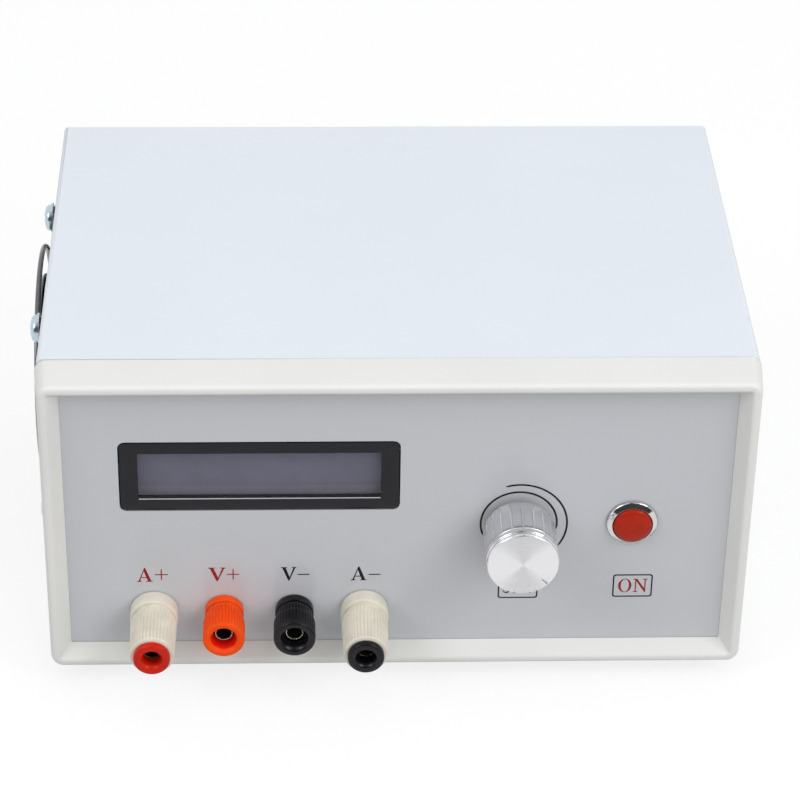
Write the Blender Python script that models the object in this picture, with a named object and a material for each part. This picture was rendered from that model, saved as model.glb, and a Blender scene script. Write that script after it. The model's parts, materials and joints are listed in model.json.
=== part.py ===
"""Bench battery capacity tester: metal case, moulded front bezel, four binding posts, turning knob,
push button, text display and a side fan with a wire guard.

Case axes while modelling, in metres: X to the right, Y to the rear, Z up. X = 0 is the middle of
the case, Y = 0 the front edge of the bezel and Z = 0 the underside of the case. One parent empty
then sets the whole object down with the middle of its foot print at the origin.
"""
import math

import bmesh
import bpy
from mathutils import Vector

# Case
CASE_WIDTH = 0.1896
CASE_HEIGHT = 0.091
CASE_DEPTH = 0.140
SHEET = 0.0010
FOLD_RADIUS = 0.0012
FIT = 0.0003
RUN_FIT = 0.00015

# Front bezel, whose sides flare from its front edge to the cover
BEZEL_WIDTH = 0.188
BEZEL_FLARE = 0.0014
BEZEL_DEPTH = 0.0135
BEZEL_CORNER = 0.0034
BEZEL_EDGE = 0.0013
BEZEL_LIP = 0.0023
BEZEL_WALL = 0.0026
BEZEL_FLANGE = 0.0053
BEZEL_TONGUE = 0.0060
TONGUE_WALL = 0.0012
PANEL_SETBACK = 0.0042

# Front panel
PANEL_THICKNESS = 0.0020
PANEL_BOSS_RADIUS = 0.0030

# Display
DISPLAY_X = -0.0368
DISPLAY_Z = 0.0600
LENS_WIDTH = 0.0738
LENS_HEIGHT = 0.0215
LENS_CORNER = 0.0016
LENS_THICKNESS = 0.0017
DISPLAY_WINDOW_WIDTH = 0.0650
DISPLAY_WINDOW_HEIGHT = 0.0156
DISPLAY_FRAME_WIDTH = 0.0712
DISPLAY_FRAME_HEIGHT = 0.0252
DISPLAY_FRAME_DEPTH = 0.0055
DISPLAY_FRAME_WALL = 0.0006
DISPLAY_GLASS_THICKNESS = 0.0028
DISPLAY_BOARD_WIDTH = 0.0800
DISPLAY_BOARD_HEIGHT = 0.0360
DISPLAY_BOARD_THICKNESS = 0.0016
DISPLAY_HOLE_INSET = 0.0028

# Knob and its encoder
KNOB_X = 0.0323
KNOB_Z = 0.0442
KNOB_RADIUS = 0.0096
KNOB_SKIRT_RADIUS = 0.0098
KNOB_FLUTES = 20
KNOB_FLUTE_DEPTH = 0.00030
KNOB_SKIRT_LENGTH = 0.0026
KNOB_STANDOFF = 0.0034
KNOB_LENGTH = 0.0153
KNOB_WALL = 0.0014
KNOB_HUB_RADIUS = 0.0046
KNOB_PUSH = 0.0005
SHAFT_RADIUS = 0.0030
SHAFT_DEPTH_IN_KNOB = 0.0110
BUSHING_RADIUS = 0.0035
BUSHING_LENGTH = 0.0052
ENCODER_SIZE = 0.0125
ENCODER_DEPTH = 0.0068
ENCODER_WALL = 0.0012
ENCODER_NUT_ACROSS = 0.0100
ENCODER_NUT_THICKNESS = 0.0016

# Push button
BUTTON_X = 0.0627
BUTTON_Z = 0.0445
BUTTON_RING_RADIUS = 0.0069
BUTTON_RING_HEIGHT = 0.0015
BUTTON_BARREL_RADIUS = 0.0060
BUTTON_BARREL_LENGTH = 0.0160
BUTTON_CAP_RADIUS = 0.0052
BUTTON_CAP_PROUD = 0.0014
BUTTON_CAP_LENGTH = 0.0075
BUTTON_NUT_ACROSS = 0.0150
BUTTON_NUT_THICKNESS = 0.0022

# Binding posts, all four
POST_PITCH = 0.0190
POST_FIRST_X = -0.0658
POST_Z = 0.0159
STUD_RADIUS = 0.0025
STUD_SOCKET_RADIUS = 0.0020
STUD_SOCKET_DEPTH = 0.0120
STUD_TAIL = 0.0130
POST_SLEEVE_RADIUS = 0.0040
POST_NUT_ACROSS = 0.0080
POST_NUT_THICKNESS = 0.0025
BUSH_WALL = 0.0012
CAP_RIBS = 20
CAP_RIB_DEPTH = 0.00025

# The two long current posts, measured outwards from the panel
LONG_COLLAR_RADIUS = 0.0065
LONG_COLLAR_LENGTH = 0.0047
LONG_NECK_RADIUS = 0.0054
LONG_CAP_START = 0.0064
LONG_CAP_REAR_RADIUS = 0.0063
LONG_CAP_FRONT_RADIUS = 0.0058
LONG_CAP_END = 0.0200
LONG_RING_RADIUS = 0.00495
LONG_RING_END = 0.0221
LONG_RING_HOLE = 0.0023

# The two short sensing posts
SHORT_COLLAR_RADIUS = 0.00525
SHORT_COLLAR_LENGTH = 0.0027
SHORT_CAP_WAIST_RADIUS = 0.0050
SHORT_CAP_FRONT_RADIUS = 0.00565
SHORT_CAP_WAIST = 0.0050
SHORT_CAP_END = 0.0136
SHORT_CAP_MOUTH_RADIUS = 0.0030
SHORT_STUD_RECESS = 0.0032

# Fan on the left side
FAN_SIZE = 0.070
FAN_DEPTH = 0.015
FAN_HOLE_SPACING = 0.060
FAN_FROM_REAR = 0.0592
FAN_Y = CASE_DEPTH - FAN_FROM_REAR
FAN_Z = 0.0472
FAN_BORE_RADIUS = 0.0330
FAN_CORNER = 0.0030
FAN_SCREW_RADIUS = 0.0020
FAN_SCREW_LENGTH = 0.012
FAN_HEAD_RADIUS = 0.0038
FAN_HEAD_HEIGHT = 0.0021
FAN_WASHER_RADIUS = 0.0043
FAN_WASHER = 0.0006
ROTOR_HUB_RADIUS = 0.0150
ROTOR_BLADES = 7
ROTOR_TIP_GAP = 0.0012
ROTOR_PIN_RADIUS = 0.0015
GUARD_WIRE = 0.00075
GUARD_RISE = 0.0012
GUARD_RINGS = 3
GUARD_OUTER_RING = 0.0330
GUARD_RING_STEP = 0.0085

# Case screws, feet and rear
FOOT_RADIUS = 0.0070
FOOT_HEIGHT = 0.0050
FOOT_INSET_X = 0.0160
FOOT_INSET_Y = 0.0200
TRAY_FLANGE = 0.0108
CASE_SCREW_RADIUS = 0.0015
CASE_SCREW_HEAD_RADIUS = 0.0028
CASE_SCREW_HEAD_HEIGHT = 0.0017
CASE_SCREW_LENGTH = 0.0060
CASE_SCREW_Z = 0.0070
CASE_SCREW_INSET = 0.0160
VENT_COUNT = 9
VENT_WIDTH = 0.0030
VENT_LENGTH = 0.0500
VENT_STEP = 0.0065
JACK_FROM_SIDE = 0.0348
JACK_X = CASE_WIDTH / 2 - JACK_FROM_SIDE
JACK_Z = 0.0280
JACK_RADIUS = 0.0055
JACK_FLANGE_RADIUS = 0.0070
JACK_FLANGE = 0.0018
JACK_SOCKET_RADIUS = 0.0031
JACK_LENGTH = 0.0130

# Inside
STANDOFF_HEIGHT = 0.0050
STANDOFF_RADIUS = 0.0030
BOARD_THICKNESS = 0.0016
BOARD_WIDTH = 0.140
BOARD_FRONT = 0.042
BOARD_FROM_REAR = 0.012
BOARD_REAR = CASE_DEPTH - BOARD_FROM_REAR
HEATSINK_LENGTH = 0.096
HEATSINK_FROM_FAN = 0.0097
HEATSINK_FROM_REAR = 0.032
HEATSINK_BASE_Y = CASE_DEPTH - HEATSINK_FROM_REAR
HEATSINK_BASE = 0.0050
HEATSINK_TOP = 0.080
FIN_COUNT = 9
FIN_FROM_BOARD_FRONT = 0.012
FIN_FRONT = BOARD_FRONT + FIN_FROM_BOARD_FRONT
FIN_THICKNESS = 0.0018
FIN_BOTTOM = 0.018
TRANSISTOR_WIDTH = 0.0158
TRANSISTOR_HEIGHT = 0.0205
TRANSISTOR_THICKNESS = 0.0050
TRANSISTOR_Z = 0.0300
TRANSISTOR_SPACING = 0.0400
LEAD_RADIUS = 0.0018
LEAD_FROM_BOARD_SIDE = 0.010
LEAD_RUN_OUT = 0.008
LEAD_FIRST_RISE = 0.001
LEAD_RISE = 0.004
LEAD_DROP_START = 0.004
LEAD_DROP_END = 0.0055
LEAD_DROP_HEIGHT = 0.007

# Faces worked out from the sizes above
PANEL_FRONT = PANEL_SETBACK + 0.5 * FIT
WALL_X = CASE_WIDTH / 2
TRAY_SIDE_X = WALL_X - SHEET - FIT
BOARD_BOTTOM = SHEET + STANDOFF_HEIGHT + FIT
GUARD_LOOP_HEIGHT = FIT + GUARD_WIRE
GUARD_SPOKE_HEIGHT = GUARD_LOOP_HEIGHT + GUARD_RISE
GUARD_RING_HEIGHT = GUARD_SPOKE_HEIGHT + 1.8 * GUARD_WIRE
FAN_WASHER_SEAT = GUARD_LOOP_HEIGHT + GUARD_WIRE + 0.5 * FIT
FAR_LEFT = -WALL_X - FAN_WASHER_SEAT - FAN_WASHER - FAN_HEAD_HEIGHT
FAR_RIGHT = WALL_X + FIT + CASE_SCREW_HEAD_HEIGHT
FAR_FRONT = PANEL_FRONT - LONG_RING_END
FAR_REAR = CASE_DEPTH + FIT + JACK_FLANGE
ORIGIN_X = (FAR_LEFT + FAR_RIGHT) / 2
ORIGIN_Y = (FAR_FRONT + FAR_REAR) / 2

OUTWARD = (math.radians(90), 0.0, 0.0)
LEFTWARD = (0.0, math.radians(-90), 0.0)
RIGHTWARD = (0.0, math.radians(90), 0.0)
REARWARD = (math.radians(-90), 0.0, 0.0)


def clear_scene():
    for old in list(bpy.data.objects):
        bpy.data.objects.remove(old, do_unlink=True)


def material(name, colour, roughness, metallic=0.0, alpha=1.0):
    mat = bpy.data.materials.get(name)
    if mat is None:
        mat = bpy.data.materials.new(name)
        mat.use_nodes = True
        shader = mat.node_tree.nodes["Principled BSDF"]
        shader.inputs["Base Color"].default_value = (*colour, 1.0)
        shader.inputs["Roughness"].default_value = roughness
        shader.inputs["Metallic"].default_value = metallic
        shader.inputs["Alpha"].default_value = alpha
        mat.diffuse_color = (*colour, alpha)
    return mat


def cream_plastic():
    return material("cream_plastic", (0.62, 0.62, 0.57), 0.45)


def post_cream_plastic():
    return material("post_cream_plastic", (0.60, 0.56, 0.49), 0.35)


def red_plastic():
    return material("red_plastic", (0.60, 0.05, 0.02), 0.25)


def orange_plastic():
    return material("orange_plastic", (0.88, 0.07, 0.01), 0.30)


def black_plastic():
    return material("black_plastic", (0.014, 0.013, 0.017), 0.35)


def grey_panel():
    return material("grey_panel", (0.45, 0.46, 0.49), 0.20)


def white_paint():
    return material("white_paint", (0.78, 0.81, 0.85), 0.40)


def chrome():
    return material("chrome", (0.75, 0.76, 0.78), 0.12, 1.0)


def zinc():
    return material("blue_zinc", (0.50, 0.60, 0.70), 0.28, 1.0)


def brass():
    return material("nickelled_brass", (0.70, 0.64, 0.48), 0.25, 1.0)


def spun_aluminium():
    return material("spun_aluminium", (0.72, 0.72, 0.74), 0.28, 1.0)


def plain_aluminium():
    return material("plain_aluminium", (0.60, 0.61, 0.63), 0.40, 1.0)


def rubber():
    return material("rubber", (0.02, 0.02, 0.02), 0.85)


def clear_plastic():
    return material("clear_plastic", (0.10, 0.10, 0.13), 0.05, 0.0, 0.5)


def display_glass():
    return material("display_glass", (0.10, 0.11, 0.16), 0.10)


def circuit_board():
    return material("circuit_board", (0.02, 0.16, 0.07), 0.45)


def finish(name, mesh_builder, parent, mat, location=(0, 0, 0), rotation=(0, 0, 0), sharp=35.0):
    """Turn a bmesh into a named, placed and shaded object."""
    bmesh.ops.recalc_face_normals(mesh_builder, faces=mesh_builder.faces)
    mesh = bpy.data.meshes.new(name)
    mesh_builder.to_mesh(mesh)
    mesh_builder.free()
    mesh.shade_smooth()
    mesh.set_sharp_from_angle(angle=math.radians(sharp))
    obj = bpy.data.objects.new(name, mesh)
    bpy.context.scene.collection.objects.link(obj)
    obj.parent = parent
    obj.location = location
    obj.rotation_euler = rotation
    if mat is not None:
        mesh.materials.append(mat)
    return obj


def rounded_rectangle(width, height, radius, steps=4):
    """Corner points of a rounded rectangle, anticlockwise, centred on zero."""
    radius = min(radius, width * 0.49, height * 0.49)
    points = []
    corners = ((1, 1, 0), (-1, 1, 90), (-1, -1, 180), (1, -1, 270))
    for sign_x, sign_y, start in corners:
        centre_x = sign_x * (width / 2 - radius)
        centre_y = sign_y * (height / 2 - radius)
        for step in range(steps + 1):
            angle = math.radians(start + 90 * step / steps)
            points.append((centre_x + radius * math.cos(angle), centre_y + radius * math.sin(angle)))
    return points


def circle(radius, count, phase=0.0):
    turns = [2 * math.pi * (step + phase) / count for step in range(count)]
    return [(radius * math.cos(turn), radius * math.sin(turn)) for turn in turns]


def hexagon(across):
    return circle(across / 2 / math.cos(math.pi / 6), 6)


def prism(points, low, high):
    """Extrude a flat outline from height low to height high along local Z."""
    builder = bmesh.new()
    verts = [builder.verts.new((x, y, low)) for x, y in points]
    face = builder.faces.new(verts)
    grown = bmesh.ops.extrude_face_region(builder, geom=[face])
    moved = [item for item in grown["geom"] if isinstance(item, bmesh.types.BMVert)]
    bmesh.ops.translate(builder, vec=(0, 0, high - low), verts=moved)
    return builder


def box(low, high):
    builder = bmesh.new()
    bmesh.ops.create_cube(builder, size=1.0)
    size = Vector(high) - Vector(low)
    middle = (Vector(high) + Vector(low)) / 2
    bmesh.ops.scale(builder, vec=size, verts=builder.verts)
    bmesh.ops.translate(builder, vec=middle, verts=builder.verts)
    return builder


def turned(profile, segments, closed=True):
    """Spin a profile of (radius, height) points about local Z."""
    builder = bmesh.new()
    verts = [builder.verts.new((radius, 0.0, height)) for radius, height in profile]
    pairs = list(zip(verts, verts[1:]))
    if closed:
        pairs.append((verts[-1], verts[0]))
    edges = [builder.edges.new(pair) for pair in pairs]
    bmesh.ops.spin(builder, geom=verts + edges, cent=(0, 0, 0), axis=(0, 0, 1), dvec=(0, 0, 0),
                   angle=2 * math.pi, steps=segments, use_merge=True, use_duplicate=False)
    bmesh.ops.remove_doubles(builder, verts=builder.verts, dist=1e-6)
    return builder


def push_in(builder, segments, low, high, inner_radius, depth_at):
    """Move the outer wall inwards between two heights by a depth that depends on the column."""
    step = 2 * math.pi / segments
    for vert in builder.verts:
        radius = math.hypot(vert.co.x, vert.co.y)
        if radius < inner_radius or not low - 1e-6 <= vert.co.z <= high + 1e-6:
            continue
        column = round(math.atan2(vert.co.y, vert.co.x) / step) % segments
        factor = (radius - depth_at(column)) / radius
        vert.co.x *= factor
        vert.co.y *= factor


def lofted(loops, closed):
    """Skin a list of equally long 3-D loops; closed joins the last loop to the first."""
    builder = bmesh.new()
    rings = [[builder.verts.new(point) for point in loop] for loop in loops]
    count = len(rings[0])
    steps = list(zip(rings, rings[1:]))
    if closed:
        steps.append((rings[-1], rings[0]))
    for first, second in steps:
        for index in range(count):
            after = (index + 1) % count
            builder.faces.new((first[index], first[after], second[after], second[index]))
    if not closed:
        builder.faces.new(list(reversed(rings[0])))
        builder.faces.new(rings[-1])
    return builder


def tube(points, radius, sides, closed=False):
    """A round wire along a path of 3-D points."""
    loops = []
    count = len(points)
    vectors = [Vector(point) for point in points]
    side = None
    for index, point in enumerate(vectors):
        if closed:
            along = vectors[(index + 1) % count] - vectors[index - 1]
        else:
            along = vectors[min(index + 1, count - 1)] - vectors[max(index - 1, 0)]
        along.normalize()
        if side is None:
            guide = Vector((0, 0, 1)) if abs(along.z) < 0.9 else Vector((1, 0, 0))
            side = along.cross(guide)
        side = (side - along * side.dot(along)).normalized()
        other = along.cross(side)
        turns = [2 * math.pi * step / sides for step in range(sides)]
        loops.append([point + side * (radius * math.cos(a)) + other * (radius * math.sin(a)) for a in turns])
    return lofted(loops, closed)


def merged(builders):
    """Put separate, disjoint shapes in one bmesh."""
    result = bmesh.new()
    for builder in builders:
        bmesh.ops.recalc_face_normals(builder, faces=builder.faces)
        scratch = bpy.data.meshes.new("scratch")
        builder.to_mesh(scratch)
        builder.free()
        result.from_mesh(scratch)
        bpy.data.meshes.remove(scratch)
    return result


def shifted(builder, vector):
    bmesh.ops.translate(builder, vec=vector, verts=builder.verts)
    return builder


def combine(obj, builder, operation, sharp=35.0):
    """Apply an exact Boolean of obj with a shape given in obj's own axes."""
    bmesh.ops.recalc_face_normals(builder, faces=builder.faces)
    tool_mesh = bpy.data.meshes.new("tool")
    builder.to_mesh(tool_mesh)
    builder.free()
    tool = bpy.data.objects.new("tool", tool_mesh)
    bpy.context.scene.collection.objects.link(tool)
    tool.parent = obj.parent
    tool.location = obj.location
    tool.rotation_euler = obj.rotation_euler
    modifier = obj.modifiers.new("combine", "BOOLEAN")
    modifier.operation = operation
    modifier.solver = "EXACT"
    modifier.object = tool
    bpy.context.view_layer.update()
    evaluated = obj.evaluated_get(bpy.context.evaluated_depsgraph_get())
    result = bpy.data.meshes.new_from_object(evaluated)
    obj.modifiers.remove(modifier)
    old = obj.data
    name = old.name
    obj.data = result
    bpy.data.meshes.remove(old)
    result.name = name
    bpy.data.objects.remove(tool, do_unlink=True)
    bpy.data.meshes.remove(tool_mesh)
    tidy = bmesh.new()
    tidy.from_mesh(result)
    bmesh.ops.remove_doubles(tidy, verts=tidy.verts, dist=1e-7)
    bmesh.ops.dissolve_limit(tidy, angle_limit=math.radians(0.2), verts=tidy.verts, edges=tidy.edges)
    tidy.to_mesh(result)
    tidy.free()
    result.shade_smooth()
    result.set_sharp_from_angle(angle=math.radians(sharp))
    return obj


def cut(obj, builder):
    return combine(obj, builder, "DIFFERENCE")


def add(obj, builder):
    return combine(obj, builder, "UNION")


def bezel_loop(width, inset, depth):
    """One rounded-rectangle loop of the bezel at a given full width, inset and depth."""
    corner = max(BEZEL_CORNER - inset, 0.0004)
    outline = rounded_rectangle(width - 2 * inset, CASE_HEIGHT - 2 * inset, corner)
    return [(x, depth, z + CASE_HEIGHT / 2) for x, z in outline]


def front_bezel(parent):
    """Moulded frame: rounded front lip, flared sides, walls that narrow to the panel flange, rear tongue."""
    tongue_inset = SHEET + FIT
    wall = tongue_inset + TONGUE_WALL
    inner_edge = BEZEL_EDGE * 0.5
    tongue_end = BEZEL_DEPTH + BEZEL_TONGUE
    stations = [(CASE_WIDTH, tongue_inset, tongue_end), (CASE_WIDTH, tongue_inset, BEZEL_DEPTH),
                (BEZEL_WIDTH + 2 * BEZEL_FLARE, 0.0, BEZEL_DEPTH)]
    for step in range(5):
        angle = math.radians(22.5 * step)
        depth = BEZEL_EDGE * (1 - math.sin(angle))
        width = BEZEL_WIDTH + 2 * BEZEL_FLARE * depth / BEZEL_DEPTH
        stations.append((width, BEZEL_EDGE * (1 - math.cos(angle)), depth))
    for step in range(3):
        angle = math.radians(45 * step)
        stations.append((BEZEL_WIDTH, BEZEL_LIP - inner_edge * (1 - math.sin(angle)),
                         inner_edge * (1 - math.cos(angle))))
    stations.append((BEZEL_WIDTH, BEZEL_FLANGE, PANEL_SETBACK))
    stations.append((BEZEL_WIDTH, BEZEL_WALL, PANEL_SETBACK))
    stations.append((BEZEL_WIDTH, BEZEL_WALL, BEZEL_DEPTH - 0.001))
    stations.append((CASE_WIDTH, wall, BEZEL_DEPTH))
    stations.append((CASE_WIDTH, wall, tongue_end))
    loops = [bezel_loop(*station) for station in stations]
    return finish("front_bezel", lofted(loops, True), parent, cream_plastic())


def display_hole_offsets():
    reach_x = DISPLAY_BOARD_WIDTH / 2 - DISPLAY_HOLE_INSET
    reach_z = DISPLAY_BOARD_HEIGHT / 2 - DISPLAY_HOLE_INSET
    return [(sx * reach_x, sz * reach_z) for sx in (-1, 1) for sz in (-1, 1)]


def display_stack():
    """Depths behind the panel front of the display's frame and board."""
    frame_front = PANEL_THICKNESS + FIT
    board_front = frame_front + DISPLAY_FRAME_DEPTH + FIT
    return frame_front, board_front


def post_positions():
    return [POST_FIRST_X + POST_PITCH * index for index in range(4)]


def front_panel(parent):
    """Flat panel behind the bezel flange, with every opening and the display's four bosses."""
    inset = BEZEL_WALL + FIT
    outline = rounded_rectangle(BEZEL_WIDTH - 2 * inset, CASE_HEIGHT - 2 * inset,
                                max(BEZEL_CORNER - inset, 0.0004), 2)
    centre_z = CASE_HEIGHT / 2
    panel = finish("front_panel", prism(outline, -PANEL_THICKNESS, 0), parent, grey_panel(),
                   (0, PANEL_FRONT, centre_z), OUTWARD)
    low = -PANEL_THICKNESS * 2
    high = PANEL_THICKNESS
    lens = rounded_rectangle(LENS_WIDTH + 2 * FIT, LENS_HEIGHT + 2 * FIT, LENS_CORNER + FIT)
    tools = [shifted(prism(lens, low, high), (DISPLAY_X, DISPLAY_Z - centre_z, 0))]
    tools.append(shifted(prism(circle(BUSHING_RADIUS + FIT, 24), low, high), (KNOB_X, KNOB_Z - centre_z, 0)))
    tools.append(shifted(prism(circle(BUTTON_BARREL_RADIUS + FIT, 24), low, high),
                         (BUTTON_X, BUTTON_Z - centre_z, 0)))
    for x in post_positions():
        tools.append(shifted(prism(circle(POST_SLEEVE_RADIUS + FIT, 20), low, high), (x, POST_Z - centre_z, 0)))
    cut(panel, merged(tools))
    board_front = display_stack()[1]
    bosses = []
    for dx, dz in display_hole_offsets():
        boss = prism(circle(PANEL_BOSS_RADIUS, 12), FIT - board_front, -PANEL_THICKNESS * 0.5)
        bosses.append(shifted(boss, (DISPLAY_X + dx, DISPLAY_Z + dz - centre_z, 0)))
    add(panel, merged(bosses))
    return panel


def display(parent):
    """Clear lens, pressed metal frame, glass and circuit board of the text display."""
    place = (DISPLAY_X, PANEL_FRONT, DISPLAY_Z)
    frame_front, board_front = display_stack()
    lens = rounded_rectangle(LENS_WIDTH, LENS_HEIGHT, LENS_CORNER)
    finish("display_lens", prism(lens, -LENS_THICKNESS, 0), parent, clear_plastic(), place, OUTWARD)
    outer = rounded_rectangle(DISPLAY_FRAME_WIDTH, DISPLAY_FRAME_HEIGHT, 0.0006, 1)
    inner = rounded_rectangle(DISPLAY_FRAME_WIDTH - 2 * DISPLAY_FRAME_WALL,
                              DISPLAY_FRAME_HEIGHT - 2 * DISPLAY_FRAME_WALL, 0.0003, 1)
    window = rounded_rectangle(DISPLAY_WINDOW_WIDTH, DISPLAY_WINDOW_HEIGHT, 0.0003, 1)
    back = -frame_front - DISPLAY_FRAME_DEPTH
    front = -frame_front
    skin = front - DISPLAY_FRAME_WALL
    levels = ((outer, back), (outer, front), (window, front), (window, skin), (inner, skin), (inner, back))
    loops = [[(x, y, level) for x, y in outline] for outline, level in levels]
    finish("display_frame", lofted(loops, True), parent, black_plastic(), place, OUTWARD)
    slack = DISPLAY_FRAME_WALL + FIT
    glass = rounded_rectangle(DISPLAY_FRAME_WIDTH - 2 * slack, DISPLAY_FRAME_HEIGHT - 2 * slack, 0.0003, 1)
    glass_front = skin - FIT
    finish("display_glass", prism(glass, glass_front - DISPLAY_GLASS_THICKNESS, glass_front), parent,
           display_glass(), place, OUTWARD)
    board = rounded_rectangle(DISPLAY_BOARD_WIDTH, DISPLAY_BOARD_HEIGHT, 0.0010, 2)
    finish("display_board", prism(board, -board_front - DISPLAY_BOARD_THICKNESS, -board_front), parent,
           circuit_board(), place, OUTWARD)


def encoder(parent):
    """Encoder housing with threaded bushing, its nut, the push plunger, the shaft and the knob."""
    place = (KNOB_X, PANEL_FRONT, KNOB_Z)
    body_front = -PANEL_THICKNESS - FIT
    body_back = body_front - ENCODER_DEPTH
    bushing_end = BUSHING_LENGTH - PANEL_THICKNESS
    bore = SHAFT_RADIUS + RUN_FIT
    floor = body_back + ENCODER_WALL
    body = finish("encoder_body", prism(rounded_rectangle(ENCODER_SIZE, ENCODER_SIZE, 0.0006, 1),
                                        body_back, body_front), parent, plain_aluminium(), place, OUTWARD)
    add(body, prism(circle(BUSHING_RADIUS, 24), body_front - ENCODER_WALL, bushing_end))
    cut(body, prism(circle(bore, 24), floor, bushing_end + 0.001))
    nut = prism(hexagon(ENCODER_NUT_ACROSS), FIT, FIT + ENCODER_NUT_THICKNESS)
    ring = finish("encoder_nut", nut, parent, chrome(), place, OUTWARD)
    cut(ring, prism(circle(BUSHING_RADIUS + RUN_FIT, 24), 0, ENCODER_NUT_THICKNESS * 3))
    plunger_high = floor + FIT + KNOB_PUSH + 0.0012
    plunger = prism(circle(bore - 2 * RUN_FIT, 20), floor + FIT + KNOB_PUSH, plunger_high)
    finish("encoder_plunger", plunger, parent, plain_aluminium(), place, OUTWARD)
    shaft_end = KNOB_STANDOFF + SHAFT_DEPTH_IN_KNOB
    flat_start = KNOB_STANDOFF + 0.0010
    shaft = finish("encoder_shaft", prism(circle(SHAFT_RADIUS, 24), plunger_high + FIT, shaft_end),
                   parent, plain_aluminium(), place, OUTWARD)
    cut(shaft, box((-0.01, SHAFT_RADIUS * 0.5, flat_start), (0.01, 0.01, shaft_end + 0.001)))
    knob(parent, place)


def knob(parent, place):
    """Hollow spun knob: fluted wall between a plain skirt and two bevelled rings round the face."""
    rear = KNOB_STANDOFF
    front = rear + KNOB_LENGTH
    flute_low = rear + KNOB_SKIRT_LENGTH
    flute_high = front - 0.0036
    face = KNOB_RADIUS - 0.0004
    bore = SHAFT_RADIUS + RUN_FIT
    hub_back = rear + 0.0012
    roof = front - 0.0022
    shaft_room = rear + SHAFT_DEPTH_IN_KNOB + FIT
    profile = [
        (0.0, rear), (KNOB_SKIRT_RADIUS, rear), (KNOB_SKIRT_RADIUS, flute_low), (KNOB_RADIUS, flute_low + 0.0003),
        (KNOB_RADIUS, flute_high), (KNOB_RADIUS, front - 0.0027), (KNOB_RADIUS - 0.0005, front - 0.0018),
        (KNOB_RADIUS - 0.0005, front - 0.0012), (KNOB_RADIUS - 0.0001, front - 0.0009), (face, front),
        (0.0, front),
    ]
    segments = KNOB_FLUTES * 3
    builder = turned_from_axis(profile, segments)
    push_in(builder, segments, flute_low + 0.0003, flute_high, KNOB_RADIUS - 0.0002,
            lambda column: 0.0 if column % 3 == 0 else KNOB_FLUTE_DEPTH)
    shell = finish("knob", builder, parent, spun_aluminium(), place, OUTWARD, 25.0)
    hollow = [
        (0.0, shaft_room), (bore, shaft_room), (bore, hub_back), (KNOB_HUB_RADIUS, hub_back),
        (KNOB_HUB_RADIUS, roof), (KNOB_SKIRT_RADIUS - KNOB_WALL, roof),
        (KNOB_SKIRT_RADIUS - KNOB_WALL, rear - 0.001), (0.0, rear - 0.001),
    ]
    cut(shell, turned_from_axis(hollow, 20))


def turned_from_axis(profile, segments):
    """Spin a closed profile that has one stretch on the axis; the stretch itself makes no wall."""
    builder = bmesh.new()
    verts = [builder.verts.new((radius, 0.0, height)) for radius, height in profile]
    edges = []
    for first, second in zip(verts, verts[1:] + verts[:1]):
        if first.co.x > 1e-9 or second.co.x > 1e-9:
            edges.append(builder.edges.new((first, second)))
    bmesh.ops.spin(builder, geom=verts + edges, cent=(0, 0, 0), axis=(0, 0, 1), dvec=(0, 0, 0),
                   angle=2 * math.pi, steps=segments, use_merge=True, use_duplicate=False)
    bmesh.ops.remove_doubles(builder, verts=builder.verts, dist=1e-6)
    return builder


def push_button(parent):
    """Chromed threaded housing with a sloping ring, its nut and the domed cap."""
    place = (BUTTON_X, PANEL_FRONT, BUTTON_Z)
    ring_top = FIT + BUTTON_RING_HEIGHT
    bore = BUTTON_CAP_RADIUS + 0.00025
    barrel_end = ring_top - BUTTON_BARREL_LENGTH
    housing = [
        (BUTTON_RING_RADIUS, FIT), (BUTTON_RING_RADIUS, FIT + BUTTON_RING_HEIGHT * 0.35),
        (bore + 0.0004, ring_top), (bore, ring_top - 0.0002), (bore, barrel_end + 0.0015),
        (0.0, barrel_end + 0.0015), (0.0, barrel_end), (BUTTON_BARREL_RADIUS, barrel_end),
        (BUTTON_BARREL_RADIUS, FIT),
    ]
    finish("button_housing", turned_from_axis(housing, 24), parent, chrome(), place, OUTWARD)
    nut_high = -PANEL_THICKNESS - FIT
    nut = finish("button_nut", prism(hexagon(BUTTON_NUT_ACROSS), nut_high - BUTTON_NUT_THICKNESS, nut_high),
                 parent, chrome(), place, OUTWARD)
    cut(nut, prism(circle(BUTTON_BARREL_RADIUS + RUN_FIT, 24), nut_high - BUTTON_NUT_THICKNESS * 2, 0))
    top = ring_top + BUTTON_CAP_PROUD
    dome = BUTTON_CAP_RADIUS
    cap = [
        (0.0, top), (dome * 0.55, top - 0.00008), (dome * 0.80, top - 0.00025), (dome * 0.94, top - 0.0006),
        (dome, top - 0.0012), (dome, top - BUTTON_CAP_LENGTH), (0.0, top - BUTTON_CAP_LENGTH),
    ]
    finish("button_cap", turned_from_axis(cap, 24), parent, red_plastic(), place, OUTWARD, 45.0)


def post_stud(name, parent, place, front):
    """Plated stud: plug socket at the front, plain tail through the panel for the nut and lead."""
    tail = -PANEL_THICKNESS - STUD_TAIL
    profile = [
        (STUD_RADIUS, tail), (STUD_RADIUS, front - 0.0003), (STUD_RADIUS - 0.0002, front),
        (STUD_SOCKET_RADIUS, front), (STUD_SOCKET_RADIUS, front - STUD_SOCKET_DEPTH),
        (0.0, front - STUD_SOCKET_DEPTH - 0.001), (0.0, tail),
    ]
    finish(name, turned_from_axis(profile, 16), parent, brass(), place, OUTWARD)


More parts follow.
